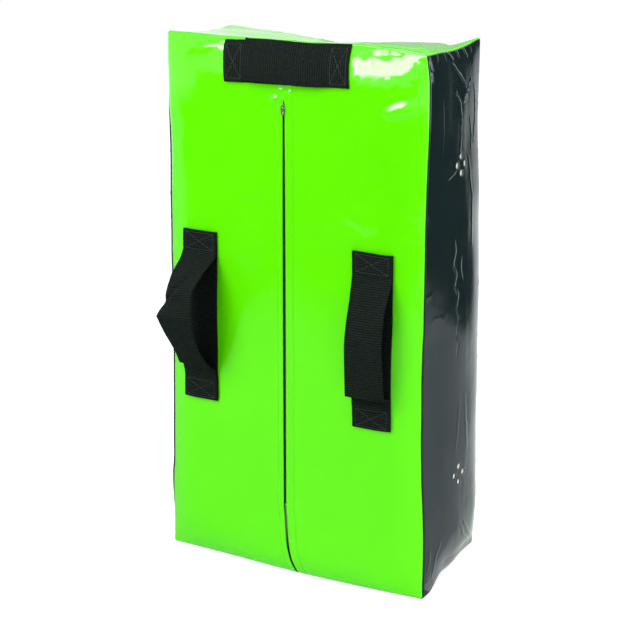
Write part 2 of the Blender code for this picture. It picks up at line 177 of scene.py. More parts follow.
def stuffed(points):
    x, y, z = points.T
    skin = block["skinZone"]
    endRise = risen(np.minimum(z, height - z))
    crown = risen(halfWidth - np.abs(x)) * endRise
    toStrike = np.clip((y + halfDepth - skin) / (depth - 2 * skin), 0, 1)
    forward = block["zipCrown"] * (1 - toStrike) - block["strikeCrown"] * toStrike
    across, deep = np.clip(x / halfWidth, -1, 1), np.clip(y / halfDepth, -1, 1)
    outward = np.clip(x / (halfWidth - skin), -1, 1)
    widthHere = block["widthBase"] + (block["widthTop"] - block["widthBase"]) * np.clip(z / height, 0, 1)
    topShare = np.clip((z - height + block["topFade"]) / (block["topFade"] - skin), 0, 1) ** 2
    baseShare = np.clip((block["baseFade"] - z) / (block["baseFade"] - skin), 0, 1) ** 2
    topRise = block["topBow"] * (1 - across ** 2) - block["topDip"] * (1 - deep ** 2)
    return np.stack([
        x * widthHere / width + block["sideCrown"] * outward * (1 - deep ** 2) * endRise,
        y - forward * crown,
        z + topRise * topShare + baseLift(x, y) * baseShare,
    ], axis=1)


# What the stitched cover adds to it
cover = {
    "thickness": 0.0006,
    "foldRadius": 0.0009,  # edges are turned in at the seams
    "allowance": 0.0030,
    "waveSize": 0.055,
    "waveHeight": 0.0010,
    "floorZone": 0.05,
    "zipCalm": 0.030,  # no waves near the zip, so the slider runs free
    "ears": [  # top corner, push in metres, reach
        ((1, 1), (0.0010, 0.0010, 0.0045), 0.030),
        ((-1, 1), (-0.0010, 0.0010, 0.0026), 0.020),
        ((1, -1), (0.0006, -0.0006, -0.0010), 0.020),
        ((-1, -1), (-0.0006, -0.0006, 0.0020), 0.034),
    ],
    "seamReach": 0.045,
    "seams": [  # upright seam, and its stray at each height: (z, x) or (z, x, y) in mm
        ((1, -1), [(0, 2.5), (60, 1), (110, 0), (160, -2), (220, -2.7), (300, -2.4), (340, 0), (420, 1),
                   (500, 2), (550, 4.5), (580, 5.4), (615, 5.2), (635, 3), (650, 0.5)]),
        ((-1, -1), [(0, 0), (90, 0.6), (130, 3), (290, 3.2), (400, 2.4), (520, 2), (560, 0), (600, -1),
                    (620, -1.5), (650, 0)]),
        ((1, 1), [(0, 0, 0), (60, 1.2, 4), (120, 1.5, 4.5), (420, 1.5, 5), (500, 0.8, 2.5),
                  (540, 0, 0), (650, 0, 0)]),
        ((-1, 1), [(0, 0, 0), (80, -1, 4), (400, -1, 4), (540, 0, 0), (650, 0, 0)]),
    ],
    "sagZone": 0.12,
    "topSag": [  # how low the top's seams hang: (x, at the zip face, at the strike face) in mm
        (-173, 0, 6.4), (-151, 0, 6), (-118, 0.2, 8.4), (-86, 1, 11.8), (-53, 1.6, 15.4), (-37, 1.7, 17),
        (-4, 1.8, 20), (28, 1.8, 18.6), (61, 1.2, 14), (94, 0.5, 11.6), (126, 0.8, 9.4), (143, 1.2, 12.4),
        (159, 1.8, 7.6), (173, 2.5, 3)],
    "topFill": 0.004,
    "pillow": [  # how far the top swells up behind the zip face's seam: (x, rise) in mm
        (-173, 0), (-60, 0), (0, 0.4), (40, 1.2), (70, 2.4), (100, 4), (126, 4.6), (148, 4), (164, 2),
        (173, 0)],
    "pillowRise": 0.16,  # shares of the depth in which it goes up and down
    "pillowFall": 0.5,
    "plateau": (0.0020, 0.0045),  # how far each side stands out, above and below plateauFrom
    "plateauFrom": 0.46,
    "plateauBlend": 0.16,
    "plateauAt": 0.040,  # from here it rolls off to the strike seam
    "plateauZone": 0.03,
    "footDrop": 0.006,  # the side's foot, where it hangs lower than the foam's rounding
    "footShare": 0.8,
    "footZone": (0.04, 0.04, 0.07),  # in from the side, forward of footFrom, and up
    "footFrom": 0.045,
    "baseBow": [(-173, 0), (-100, 3), (0, 9), (100, 8), (173, 4)],  # x, and the seam's push forward, mm
    "bowZone": (0.05, 0.08),  # back from the zip face, and up
}


def settled(points):
    # Where a point of the plain box ends up on the finished cover
    made = stuffed(points)
    x, y, z = points.T
    for (sx, sy), push, reach in cover["ears"]:
        corner = np.array([sx * halfWidth, sy * halfDepth, height])
        share = np.exp(-(((points - corner) / reach) ** 2).sum(axis=1))
        made = made + share[:, None] * np.array(push)
    for (sx, sy), places in cover["seams"]:
        near = np.exp(-((x - sx * halfWidth) ** 2 + (y - sy * halfDepth) ** 2) / cover["seamReach"] ** 2)
        for part, stray in zip(made.T, smoothAt(z, places)):
            part += near * stray
    frontSag, rearSag = smoothAt(x, cover["topSag"])
    toRear, deep = np.clip((y + halfDepth) / depth, 0, 1), np.clip(y / halfDepth, -1, 1)
    sag = frontSag * (1 - toRear) + rearSag * toRear - cover["topFill"] * (1 - deep ** 2)
    swollen = 1 - (1 - np.clip(toRear / cover["pillowRise"], 0, 1)) ** 2
    sag = sag - smoothAt(x, cover["pillow"])[0] * swollen * smoothStep((1 - toRear) / cover["pillowFall"])
    made[:, 2] -= sag * nearTo(height - z, cover["sagZone"])
    out, fromSide = cover["plateauAt"], halfWidth - np.abs(x)
    swell = np.where(y < out, smoothStep((y + halfDepth) / (out + halfDepth)),
                     1 - ((y - out) / (halfDepth - out)) ** 2)
    swell = np.clip(swell, 0, 1) * nearTo(fromSide, cover["plateauZone"])
    high, low = cover["plateau"]
    swell = swell * (high + (low - high) * smoothStep((cover["plateauFrom"] - z) / cover["plateauBlend"]))
    made[:, 0] += np.sign(x) * swell * risen(np.minimum(z, height - z))
    fromEdge, back, up = cover["footZone"]
    foot = nearTo(fromSide, fromEdge) * smoothStep((cover["footFrom"] - y) / back)
    drop = np.minimum(cover["footDrop"], cover["footShare"] * baseLift(x, y))
    made[:, 2] -= foot * drop * np.clip(1 - z / up, 0, 1) ** 2
    back, up = cover["bowZone"]
    made[:, 1] -= smoothAt(x, cover["baseBow"])[0] * nearTo(z, up) * nearTo(y + halfDepth, back)
    wave = np.stack([noiseAt(x, y, z, cover["waveSize"], seed) for seed in (1, 2, 3)], axis=1)
    calm = 1 - np.exp(-(x / cover["zipCalm"]) ** 2) * (y < 0)
    return made + wave * cover["waveHeight"] * (calm * smoothStep(z / cover["floorZone"]))[:, None]


# Building pieces

def meshObject(name, bm, material):
    mesh = bpy.data.meshes.new(name)
    bm.to_mesh(mesh)
    bm.free()
    mesh.shade_smooth()
    mesh.materials.append(material)
    return newObject(name, mesh)


def finishPiece(made, node=None, body="block"):
    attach(made, body)
    if node:
        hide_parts(node)


def thicken(made, thickness, offset=0):
    wall = made.modifiers.new("thickness", "SOLIDIFY")
    wall.thickness = thickness
    wall.offset = offset


def makeSheet(name, bm, material, slot, node, flat, thickness=cover["thickness"], offset=-1):
    # Cloth held taut; flat, its width and length before it was sewn, is not used
    made = meshObject(name, bm, material)
    thicken(made, thickness, offset)
    finishPiece(made, node)


def gridMesh(columns, rows):
    # A grid of vertices, with the column and row number of each
    bm = bmesh.new()
    bmesh.ops.create_grid(bm, x_segments=columns - 1, y_segments=rows - 1, size=0.5)
    place = np.array([v.co[:2] for v in bm.verts]) + 0.5
    i, j = np.rint(place * (columns - 1, rows - 1)).astype(int).T
    return bm, i, j


def shapeGrid(bm, points, u, v):
    # Moves the grid's vertices, and keeps the cloth's flat measure in metres as its UV map
    layer = bm.loops.layers.uv.new("flat")
    for vert, point in zip(bm.verts, points):
        vert.co = point
    bm.verts.index_update()
    for face in bm.faces:
        for loop in face.loops:
            loop[layer].uv = (u[loop.vert.index], v[loop.vert.index])


def gridLines(half, step, middle=0.0, closer=()):
    # One way across a panel: the place of each grid line, and how deep the turned-in edge lies
    radius = cover["foldRadius"]
    flat = half - radius * (1 + math.sqrt(2))
    inner = np.linspace(-flat, flat, round(2 * flat / step) + 1)
    turn = np.radians(np.linspace(0, 135, 7)[1:])
    run = cover["allowance"] * np.array([0.5, 1.0]) * math.sqrt(0.5)
    foldPlace, foldSink = flat + radius * np.sin(turn), radius * (1 - np.cos(turn))
    edgePlace = np.concatenate([foldPlace, foldPlace[-1] - run])
    edgeSink = np.concatenate([foldSink, foldSink[-1] + run])
    place = np.concatenate([-edgePlace[::-1], inner, edgePlace]) + middle
    sink = np.concatenate([edgeSink[::-1], np.zeros(len(inner)), edgeSink])
    clear = 0.0008
    for lines in closer:
        # closer lines take the place of those between their first and last one
        low, high = place < lines[0] - clear, place > lines[-1] + clear
        place = np.concatenate([place[low], lines, place[high]])
        sink = np.concatenate([sink[low], np.zeros(len(lines)), sink[high]])
    return place, sink


def boxPoints(side, u, v, sink):
    # A panel's points on the plain box, sunk into it by sink
    spots = {
        "zip": (u, sink - halfDepth, v),
        "strike": (-u, halfDepth - sink, v),
        "right": (halfWidth - sink, u, v),
        "left": (sink - halfWidth, -u, v),
        "top": (u, v, height - sink),
        "base": (-u, v, sink),
    }
    return np.stack(np.broadcast_arrays(*spots[side]), axis=1)


# Relief: slack cloth's waves, folds drawn as ridges along a line, and short puckers that run in
# from the seams

def slackAt(u, v, waves, seed, lying=False):
    # Each kind of wave has a height, a size, and how much closer it lies across and up the panel
    made = 0 * u
    for k, (tall, size, across, up) in enumerate(waves):
        spot = (u * across, v * up, 0) if lying else (u * across, 0, v * up)
        made = made + tall * noiseAt(*spot, size, seed + k)
    return made


def fromStretch(u, v, start, end):
    # How far each point is from a straight stretch, how far along that is, and its length
    length = math.hypot(end[0] - start[0], end[1] - start[1])
    du, dv = (end[0] - start[0]) / length, (end[1] - start[1]) / length
    along = np.clip((u - start[0]) * du + (v - start[1]) * dv, 0, length)
    return np.hypot(u - start[0] - along * du, v - start[1] - along * dv), along, length


def ridge(u, v, line, size, rise):
    # A fold along a line of (u, v) points, tapering to nothing at both ends
    best, along, gone = np.full(len(u), 1e9), np.zeros(len(u)), 0.0
    for start, end in zip(line, line[1:]):
        away, t, length = fromStretch(u, v, start, end)
        nearer = away < best
        best, along = np.where(nearer, away, best), np.where(nearer, gone + t, along)
        gone += length
    share = along / gone
    return rise * np.sqrt(np.clip(4 * share * (1 - share), 0, 1)) * np.exp(-(best / size) ** 2)


def foldsAt(u, v, folds, stray, size, seed):
    # Folds given in millimetres, strayed a little so that none runs like a ruler
    strayU, strayV = (stray * noiseAt(u, 0, v, size, seed + k) for k in (0, 1))
    return sum(ridge(u + strayU, v + strayV, np.array(line) / 1000, wide / 1000, rise / 1000)
               for wide, rise, line in folds)


def slackRelief(u, v, slack, seed, lying=False):
    # A panel's waves, calm at its seams
    halfU, lowV, highV = slack["edges"]
    across, up = slack["inset"]
    inside = smoothStep((halfU - np.abs(u)) / across) * smoothStep(np.minimum(v - lowV, highV - v) / up)
    return slackAt(u, v, slack["waves"], seed, lying) * inside


def puckers(u, v, slack, seed):
    random = np.random.default_rng(seed)
    (halfU, lowV, highV), (count, reach, wide, high) = slack["edges"], slack["puckers"]
    made, tall = np.zeros(len(u)), highV - lowV
    for _ in range(count):
        s = random.uniform(0, 4 * halfU + 2 * tall)
        lean, long = random.normal(0, 0.45), reach * random.uniform(0.5, 1.6)
        way = 1 if random.random() < 0.5 else -1
        if s < 2 * tall:
            start = (way * halfU, lowV + s % tall)
            end = (start[0] - way * long, start[1] + lean * long)
        else:
            start = (random.uniform(-halfU, halfU), highV if way > 0 else lowV)
            end = (start[0] + lean * long, start[1] - way * long)
        size, rise = wide * random.uniform(0.6, 1.5), high * random.uniform(0.3, 1.3)
        near = (np.abs(u - start[0]) < long + 4 * size) & (np.abs(v - start[1]) < long + 4 * size)
        if near.any():
            made[near] += ridge(u[near], v[near], [start, end], size, rise)
    return made


# Materials

def weaveHeight(tree, pitch):
    # A plain weave as a chequer of soft bumps, on the cloth's own flat measure
    uv = addNode(tree, "UVMap", {"uv_map": "flat"})
    parts = addNode(tree, "SeparateXYZ", links={0: uv})
    waves = {}
    for part in (0, 1):
        angle = addNode(tree, "Math", {"operation": "MULTIPLY", 1: math.pi / pitch},
                        {0: parts.outputs[part]})
        waves[part] = addNode(tree, "Math", {"operation": "SINE"}, {0: angle})
    return addNode(tree, "Math", {"operation": "MULTIPLY"}, waves)


def coatedFabric(name, settings):
    # PVC-coated polyester, calendered: a strong flat colour under a wet-looking gloss, over
    # which the woven base prints through a little
    material, tree, shader = newMaterial(name, {"IOR": settings["ior"], "Specular Tint": settings["tint"]})
    spot = addNode(tree, "TexCoord").outputs["Object"]
    cloud, rubbed, slack = (
        addNode(tree, "TexNoise", {"Scale": scale, "Detail": detail}, {"Vector": spot})
        for scale, detail in ((9.0, 3.0), (26.0, 4.0), (settings["slackScale"], 3.0)))
    blend = addNode(tree, "Mix",
                    {"data_type": "RGBA", 6: settings["colour"], 7: settings["faded"]}, {0: cloud})
    gloss = addNode(tree, "MapRange",
                    {1: 0.3, 2: 0.7, 3: settings["gloss"], 4: settings["rubbed"]}, {0: rubbed})
    loose = addNode(tree, "Bump", {"Strength": settings["slack"], "Distance": 0.0012}, {"Height": slack})
    bump = addNode(tree, "Bump", {"Strength": settings["weave"], "Distance": 0.0002},
                   {"Height": weaveHeight(tree, settings["threads"]), "Normal": loose})
    setNode(tree, shader, links={"Base Color": blend.outputs[2], "Roughness": gloss, "Normal": bump})
    return material


greenFabric = coatedFabric("greenPvcCoatedPolyester", {
    "colour": "#62F600", "faded": "#6BFA08", "ior": 1.5, "tint": "#FFFFFF", "gloss": 0.05, "rubbed": 0.12,
    "slackScale": 45.0, "slack": 0.08, "weave": 0.04, "threads": 0.0011})
blackFabric = coatedFabric("blackPvcCoatedPolyester", {
    "colour": "#131D1E", "faded": "#192627", "ior": 1.45, "tint": "#DDEEFF", "gloss": 0.09, "rubbed": 0.16,
    "slackScale": 60.0, "slack": 0.14, "weave": 0.06, "threads": 0.0011})


def wovenWebbing():
    # Polypropylene webbing, woven with heavy ribs: matt black, with painted shade that makes it
    # darkest between the ribs, and painted glints that fleck it where single yarns catch the light
    material, tree, shader = newMaterial("wovenPolypropyleneWebbing", {
        "Roughness": 0.75, "IOR": 1.49, "Specular IOR Level": 0.05})
    spot = addNode(tree, "TexCoord").outputs["Object"]
    # painted glints: fine noise mixes in a lighter yarn colour as small flecks
    yarnGlintFlecks = addNode(tree, "TexNoise", {"Scale": 700.0, "Detail": 3.0}, {"Vector": spot})
    shade = addNode(tree, "MapRange", {1: 0.35, 2: 0.75}, {0: yarnGlintFlecks})
    yarn = addNode(tree, "Mix", {"data_type": "RGBA", 6: "#0F1613", 7: "#26322C"}, {0: shade})
    uv = addNode(tree, "UVMap", {"uv_map": "flat"})
    parts = addNode(tree, "SeparateXYZ", links={0: uv})
    beat = addNode(tree, "Math", {"operation": "MULTIPLY", 1: math.pi / ribPitch}, {0: parts.outputs[1]})
    wave = addNode(tree, "Math", {"operation": "COSINE"}, {0: beat})
    rib = addNode(tree, "Math", {"operation": "ABSOLUTE"}, {0: wave})
    # painted shade: the colour darkens to #030505 in the grooves between the ribs, where the rib height is
    # lowest
    crown = addNode(tree, "MapRange", {1: 0.30, 2: 0.90}, {0: rib})
    blend = addNode(tree, "Mix", {"data_type": "RGBA", 6: "#030505"}, {0: crown, 7: yarn.outputs[2]})
    bump = addNode(tree, "Bump", {"Strength": 0.5, "Distance": 0.0003},
                   {"Height": weaveHeight(tree, 0.0009)})
    setNode(tree, shader, links={"Base Color": blend.outputs[2], "Normal": bump})
    return material


def grainy(name, settings, grain, tall):
    # A finish with specks as wide as grain and as tall as tall, in metres
    material, tree, shader = newMaterial(name, settings)
    spot = addNode(tree, "TexCoord").outputs["Object"]
    speck = addNode(tree, "TexNoise", {"Scale": 1 / grain, "Detail": 3.0}, {"Vector": spot})
    bump = addNode(tree, "Bump", {"Strength": 0.5, "Distance": tall}, {"Height": speck})
    setNode(tree, shader, links={"Normal": bump})
    return material


ribPitch = 0.0029  # of the webbing, along the strap
webbing = wovenWebbing()
# Bonded polyester thread: dull, with a slightly fuzzy surface
greyThread = grainy("greyPolyesterThread", {"Base Color": "#232C29", "Roughness": 0.7}, 0.0006, 0.0002)
greenThread = grainy("greenPolyesterThread", {"Base Color": "#5AE60A", "Roughness": 0.6}, 0.0006, 0.0002)
# Open-cell polyurethane foam, cut: cream and matt, with cells about a millimetre wide
creamFoam = grainy("cutPolyurethaneFoam", {"Base Color": "#F2EDE0", "Roughness": 0.95}, 0.0011, 0.0008)
# Nylon coil, moulded, and its woven tape: both dyed black. The coil's black is tinted green as painted
# reflected light from the green cloth around the slit
blackNylon = grainy("mouldedNylonCoil", {"Base Color": "#0C1510", "Roughness": 0.5}, 0.0005, 0.0001)
blackTape = grainy("wovenZipTape", {"Base Color": "#0E1112", "Roughness": 0.8}, 0.0007, 0.0002)
# Nickel-plated zinc, die cast: bright, with the soft ripple of a small casting
nickel = grainy("nickelPlatedZinc", {"Base Color": "#A9ABAA", "Metallic": 1.0, "Roughness": 0.26},
                0.0012, 0.00005)
print("materials made")


# The zip's slit in the zip face
slit = {
    "top": 0.585,
    "columns": (0.0166, 0.0030, -0.0008),  # columns beside its lips: from, to, and how far apart
    "rows": [-0.009, -0.007, -0.005, -0.0035, -0.002, -0.001, 0, 0.002, 0.004],  # at its top end
    "rollColumns": (0.1240, 0.1710, 0.0018),  # where the face rolls back to the top seam
    "rollRows": (0.5912, 0.6460, 0.0014),
    "step": 0.0030,  # the grid's spacing everywhere else
    "gap": [(0.0, 0.0016), (0.1, 0.0017), (0.30, 0.0020), (0.45, 0.0019), (0.55, 0.0013), (0.585, 0.0011)],
    "lipHalf": 0.0028,
    "lipRadius": 0.0008,
    "lipTurn": 100,
    "closes": 0.005,
    "hemLeft": 0.009,
    "hemRight": 0.013,
    "hemRise": 0.0004,
    "hemEdge": 0.0018,
    "hemOver": (0.020, 0.006),  # how far it runs on past the slit's top, and fades out
    "groove": (0.0002, 0.0011),  # depth and width, at the stitches
    "veer": 0.0122,  # the lower end runs off to the right
    "veerFrom": 0.090,
    "veerReach": 0.06,
}


def slitShift(z):
    return slit["veer"] * np.clip(1 - z / slit["veerFrom"], 0, 1) ** 1.35


def openShare(z):
    return np.sqrt(np.clip((slit["top"] - z) / slit["closes"], 0, 1))


faceSlack = {
    "edges": (halfWidth, 0.0, height),
    "inset": (0.03, 0.03),
    "waves": [(0.0011, 0.10, 1, 0.7), (0.0003, 0.04, 1, 0.7)],
    "puckers": (34, 0.014, 0.0028, 0.0004),  # how many, reach, width, height
    "stray": (0.0020, 0.013),  # how far the folds stray, and over what distance
    "crumple": [(0.00035, 0.012, 1, 1.4), (0.00024, 0.0065, 1, 1.4)],  # where the face rolls back
    "crumpleFrom": 0.598,
    "crumpleZone": (0.025, 0.004),
}


def faceRelief(u, v):
    return slackRelief(u, v, faceSlack, 11) * (1 - np.exp(-(u / cover["zipCalm"]) ** 2))


# Folds and soft bulges in the zip face: width, height and the line of (x, z), in mm
zipFolds = [
    (7.0, 3.7, [(131, 580), (150, 585), (172, 594)]),
    (4.5, 1.0, [(86, 643), (92, 626), (90, 608)]), (3.2, 0.6, [(112, 644), (120, 630)]),
    (2.4, 2.4, [(-18, 585), (-9, 589)]), (10.0, 1.8, [(-145, 641), (-100, 643), (-60, 640)]),
    (1.8, 1.6, [(-4, 588), (1, 584)]), (1.5, 1.7, [(4, 596), (11, 595)]), (1.2, 0.7, [(-10, 598), (2, 596)]),
    (11.0, 1.3, [(-72, 546), (-40, 562), (-9, 579)]), (10.0, 1.0, [(-70, 470), (-38, 478), (-12, 491)]),
    (6.0, 0.8, [(14, 586), (38, 591), (62, 589)]), (9.0, 0.9, [(60, 470), (110, 452), (150, 458)]),
    (6.0, 2.6, [(-169, 650), (-156, 636), (-138, 634), (-90, 641)]),
    (12.0, 1.0, [(-150, 260), (-110, 246), (-60, 252)]), (12.0, 1.0, [(50, 196), (96, 184), (150, 192)]),
]


def zipRelief(u, v):
    # The folded hem lifts the cloth beside the slit, out to its line of stitches
    x = u - slitShift(v)
    hem = np.where(x < 0, slit["hemLeft"], slit["hemRight"])
    over, fade = slit["hemOver"]
    below = smoothStep((slit["top"] + over - v) / fade)
    lifted = slit["hemRise"] * smoothStep((hem - np.abs(x)) / slit["hemEdge"])
    deep, wide = slit["groove"]
    groove = deep * np.exp(-((np.abs(x) - hem) / wide) ** 2)
    low, high = faceSlack["crumpleZone"]
    rolled = smoothStep((v - faceSlack["crumpleFrom"]) / low) * smoothStep((height - v) / high)
    crumple = slackAt(u, v, faceSlack["crumple"], 14) * rolled
    return (faceRelief(u, v) + below * (lifted - groove) + puckers(u, v, faceSlack, 5)
            + foldsAt(u, v, zipFolds, *faceSlack["stray"], 51) + crumple)


def strikeRelief(u, v):
    return faceRelief(-u, v) + puckers(u, v, faceSlack, 8)


def onZipFace(x, z, rise=0.0):
    # A point that stands rise in front of the zip face's cloth
    x, z, rise = np.broadcast_arrays(np.asarray(x, float), np.asarray(z, float), np.asarray(rise, float))
    return settled(boxPoints("zip", x, z, -(zipRelief(x, z) + rise)))


vents = {
    "radius": 0.0037,
    "spread": 0.010,
    "toStrikeSide": 0.009,
    "heights": (0.135, 0.512),
    "rimRise": 0.0004,
    "rimWidth": 0.0011,
    "drawn": 0.0006,  # grid points this near a vent are drawn onto its rim
}
ventPlaces = [(vents["toStrikeSide"] + vents["spread"] * math.cos(turn * math.pi / 2),
               z + vents["spread"] * math.sin(turn * math.pi / 2))
              for z in vents["heights"] for turn in range(4)]


# Creases in the side panels: width, height and the line of (towards the strike face, up), in mm
sideFolds = {
    "right": [
        (1.3, 2.0, [(-65, 648), (-61, 640), (-58, 630)]), (1.2, 1.6, [(-62, 630), (-63, 616)]),
        (1.2, 1.3, [(-20, 648), (-7, 639)]), (1.2, 1.3, [(2, 649), (9, 640)]),
        (1.2, 1.3, [(18, 650), (30, 638)]), (1.2, 1.7, [(-12, 636), (16, 607), (22, 592), (13, 583)]),
        (1.2, 1.7, [(36, 611), (26, 596), (16, 584)]), (1.1, 1.3, [(-6, 600), (-5, 592), (5, 586)]),
        (1.1, 1.0, [(5, 588), (9, 560), (7, 523)]), (1.0, 0.9, [(-3, 507), (-24, 499)]),
        (1.2, 0.6, [(30, 520), (37, 470), (34, 440)]), (1.0, 0.8, [(44, 604), (50, 570), (46, 530)]),
        (1.0, 0.6, [(34, 566), (40, 540), (38, 524)]), (1.2, 0.5, [(40, 470), (36, 440), (38, 410)]),
        (1.2, 0.8, [(-6, 428), (-2, 410), (-8, 398), (0, 384), (-5, 371), (3, 358), (-2, 345), (4, 330)]),
        (1.1, -0.5, [(4, 330), (0, 312), (4, 300), (-1, 278)]), (2.0, 0.7, [(58, 12), (34, 40), (20, 66)]),
        (1.1, 0.5, [(12, 404), (10, 388), (14, 372)]), (1.1, 0.3, [(-40, 600), (-36, 560), (-38, 520)]),
        (1.9, 0.14, [(-62, 334), (-44, 340), (-28, 336), (-20, 345)]),
        (1.7, 0.6, [(48, 8), (24, 38), (14, 60)]), (2.2, 0.4, [(-53, 112), (-30, 90)]),
        (1.7, 0.5, [(-50, 14), (-42, 40), (-30, 60)]), (1.5, 0.5, [(-58, 30), (-54, 60)]),
        (2.0, 0.4, [(8, 230), (3, 190), (0, 160)]), (2.0, 0.4, [(20, 236), (22, 196), (26, 160)]),
    ],
    "left": [
        (1.1, 0.6, [(-66, 645), (-60, 628)]), (1.1, 0.5, [(-30, 647), (-22, 636)]),
        (1.1, 0.5, [(8, 648), (14, 637)]), (1.2, 0.8, [(-10, 634), (12, 612), (10, 588)]),
        (1.2, 0.6, [(4, 590), (6, 530)]), (2.2, 0.6, [(-20, 440), (16, 410), (-4, 372)]),
        (2.4, 0.7, [(52, 8), (12, 66)]), (2.4, 0.7, [(-56, 30), (-14, 84)]),
        (2.2, 0.5, [(16, 300), (24, 220)]),
    ],
}


sideSlack = {
    "edges": (halfDepth, 0.0, height),
    "inset": (0.016, 0.02),
    "waves": [(0.0006, 0.08, 2.0, 1), (0.0001, 0.05, 5.0, 0.6)],  # soft upright ripples
    "puckers": (44, 0.010, 0.0015, 0.0004),
    "stray": (0.0014, 0.009),
    "deepest": -0.0004,
    "swell": 0.0034,  # the left side also stands out right behind the zip face's seam
    "swellRun": (0.006, 0.02),
    "swellLow": (0.03, 0.06),
    "swellHigh": (0.60, 0.08),
}


def sideRelief(u, v, side, seed):
    y = u if side == "right" else -u
    made = slackRelief(y, v, sideSlack, seed) + foldsAt(y, v, sideFolds[side], *sideSlack["stray"], seed + 2)
    made = np.maximum(made + puckers(y, v, sideSlack, seed), sideSlack["deepest"])
    for ventY, ventZ in ventPlaces:
        # the punched holes' edges stand up a little
        away = np.hypot(y - ventY, v - ventZ)
        made = made + vents["rimRise"] * np.exp(-((away - vents["radius"]) / vents["rimWidth"]) ** 2)
    return made


def leftRelief(u, v):
    run, back = sideSlack["swellRun"]
    (low, lowFade), (high, highFade) = sideSlack["swellLow"], sideSlack["swellHigh"]
    fromSeam = np.clip((halfDepth - u) / run, 0, 1)
    swell = sideSlack["swell"] * np.sqrt(1 - (1 - fromSeam) ** 2) * smoothStep((u + back) / halfDepth)
    swell = swell * smoothStep((v - low) / lowFade) * smoothStep((high - v) / highFade)
    return sideRelief(u, v, "left", 31) + swell


topSlack = {
    "edges": (halfWidth, -halfDepth, halfDepth),
    "inset": (0.02, 0.02),
    "waves": [(0.0007, 0.045, 0.35, 1), (0.0001, 0.020, 0.35, 1)],
    "puckers": (26, 0.012, 0.0024, 0.0005),
    "fold": ([(0.168, -0.060), (0.150, -0.030), (0.140, 0.010)], 0.006, 0.0022),  # line, width, height
}


def topRelief(u, v):
    waves = slackRelief(u, v, topSlack, 41, lying=True)
    return waves + ridge(u, v, *topSlack["fold"]) + puckers(u, v, topSlack, 43)


def ventGrid(u, v, sign):
    # Draws the grid's vertices in and near a vent onto its rim, and tells which these are
    u, v = u.copy(), v.copy()
    gone = np.zeros(len(u), bool)
    for y, z in ventPlaces:
        du, dv = u - sign * y, v - z
        away = np.hypot(du, dv)
        inside = away < vents["radius"] + vents["drawn"]
        share = np.where(inside & (away > 0.0001), vents["radius"] / np.maximum(away, 1e-9), 1)
        u, v = np.where(inside, sign * y + du * share, u), np.where(inside, z + dv * share, v)
        gone |= inside
    return u, v, gone


def makePanel(name, side, cloth, node, flat, step, relief, closer=()):
    # One panel of the cover. step is its grid's spacing across and up, and closer says between
    # which heights the rows lie closer
    rows = [np.arange(low, high, step[0]) for low, high in closer]
    placeU, sinkU = gridLines(flat[0] / 2, step[0])
    placeV, sinkV = gridLines(flat[1] / 2, step[1], height / 2 if flat[1] == height else 0.0, rows)
    bm, i, j = gridMesh(len(placeU), len(placeV))
    u, v, gone = placeU[i], placeV[j], np.zeros(len(i), bool)
    edge = np.maximum(sinkU[i], sinkV[j])
    if side in ("left", "right"):
        u, v, gone = ventGrid(u, v, -1 if side == "left" else 1)
    lift = np.where(edge > 0, 0, relief(u, v))
    shapeGrid(bm, settled(boxPoints(side, u, v, edge - lift)), u, v)
    faces = [f for f in bm.faces if all(gone[w.index] for w in f.verts)]
    bmesh.ops.delete(bm, geom=faces, context="FACES")
    makeSheet(name, bm, *cloth, node, flat)


def makeZipFace():
    # Two halves with a lip curled in at the slit; above the slit they are one cloth
    lip, curl, near = slit["lipHalf"], np.linspace(0, 1, 7), np.arange(*slit["columns"])
    lips = np.concatenate([-near, -lip * (1 - curl), lip * (1 - curl[::-1]), near[::-1]])
    closerU = [np.arange(*slit["rollColumns"]), lips]
    closerV = [slit["top"] + np.array(slit["rows"]), np.arange(*slit["rollRows"])]
    placeU, sinkU = gridLines(halfWidth, slit["step"], 0.0, closerU)
    placeV, sinkV = gridLines(height / 2, slit["step"], height / 2, closerV)
    first = int(np.argmin(np.abs(placeU + lip)))
    last, middle = first + 2 * len(curl), first + len(curl) - 1
    curlOf = np.zeros(len(placeU))
    curlOf[first:last] = np.concatenate([curl, curl[::-1]])

    bm, i, j = gridMesh(len(placeU), len(placeV))
    u, v, curled = placeU[i], placeV[j], curlOf[i]
    lipped = (i >= first) & (i < last)
    side, share, radius = np.where(i <= middle, -1, 1), openShare(v), slit["lipRadius"]
    turn = np.radians(slit["lipTurn"]) * curled
    opened = np.interp(v, *np.array(slit["gap"]).T) + radius * (1 - np.sin(turn))
    x = np.where(lipped, side * (share * opened + (1 - share) * lip * (1 - curled)), u)
    x = x + slitShift(v) * np.clip(1 - np.abs(u) / slit["veerReach"], 0, 1)
    curlSink = np.where(lipped, share * radius * (1 - np.cos(turn)), 0)
    edge = np.maximum(sinkU[i], sinkV[j])
    lift = np.where(edge > 0, 0, zipRelief(np.where(lipped, side * lip + slitShift(v), x), v))
    shapeGrid(bm, settled(boxPoints("zip", x, v, edge + curlSink - lift)), u, v)
    top, pair = slit["top"] - 0.0001, {middle, middle + 1}
    crossing = [f for f in bm.faces
                if {i[w.index] for w in f.verts} == pair and min(v[w.index] for w in f.verts) < top]
    bmesh.ops.delete(bm, geom=crossing, context="FACES_ONLY")
    seam = [w for w in bm.verts if i[w.index] in pair and v[w.index] > top]
    bmesh.ops.remove_doubles(bm, verts=seam, dist=0.00002)
    makeSheet("zipFacePanel", bm, *green, "zip_face_panel", (width, height))


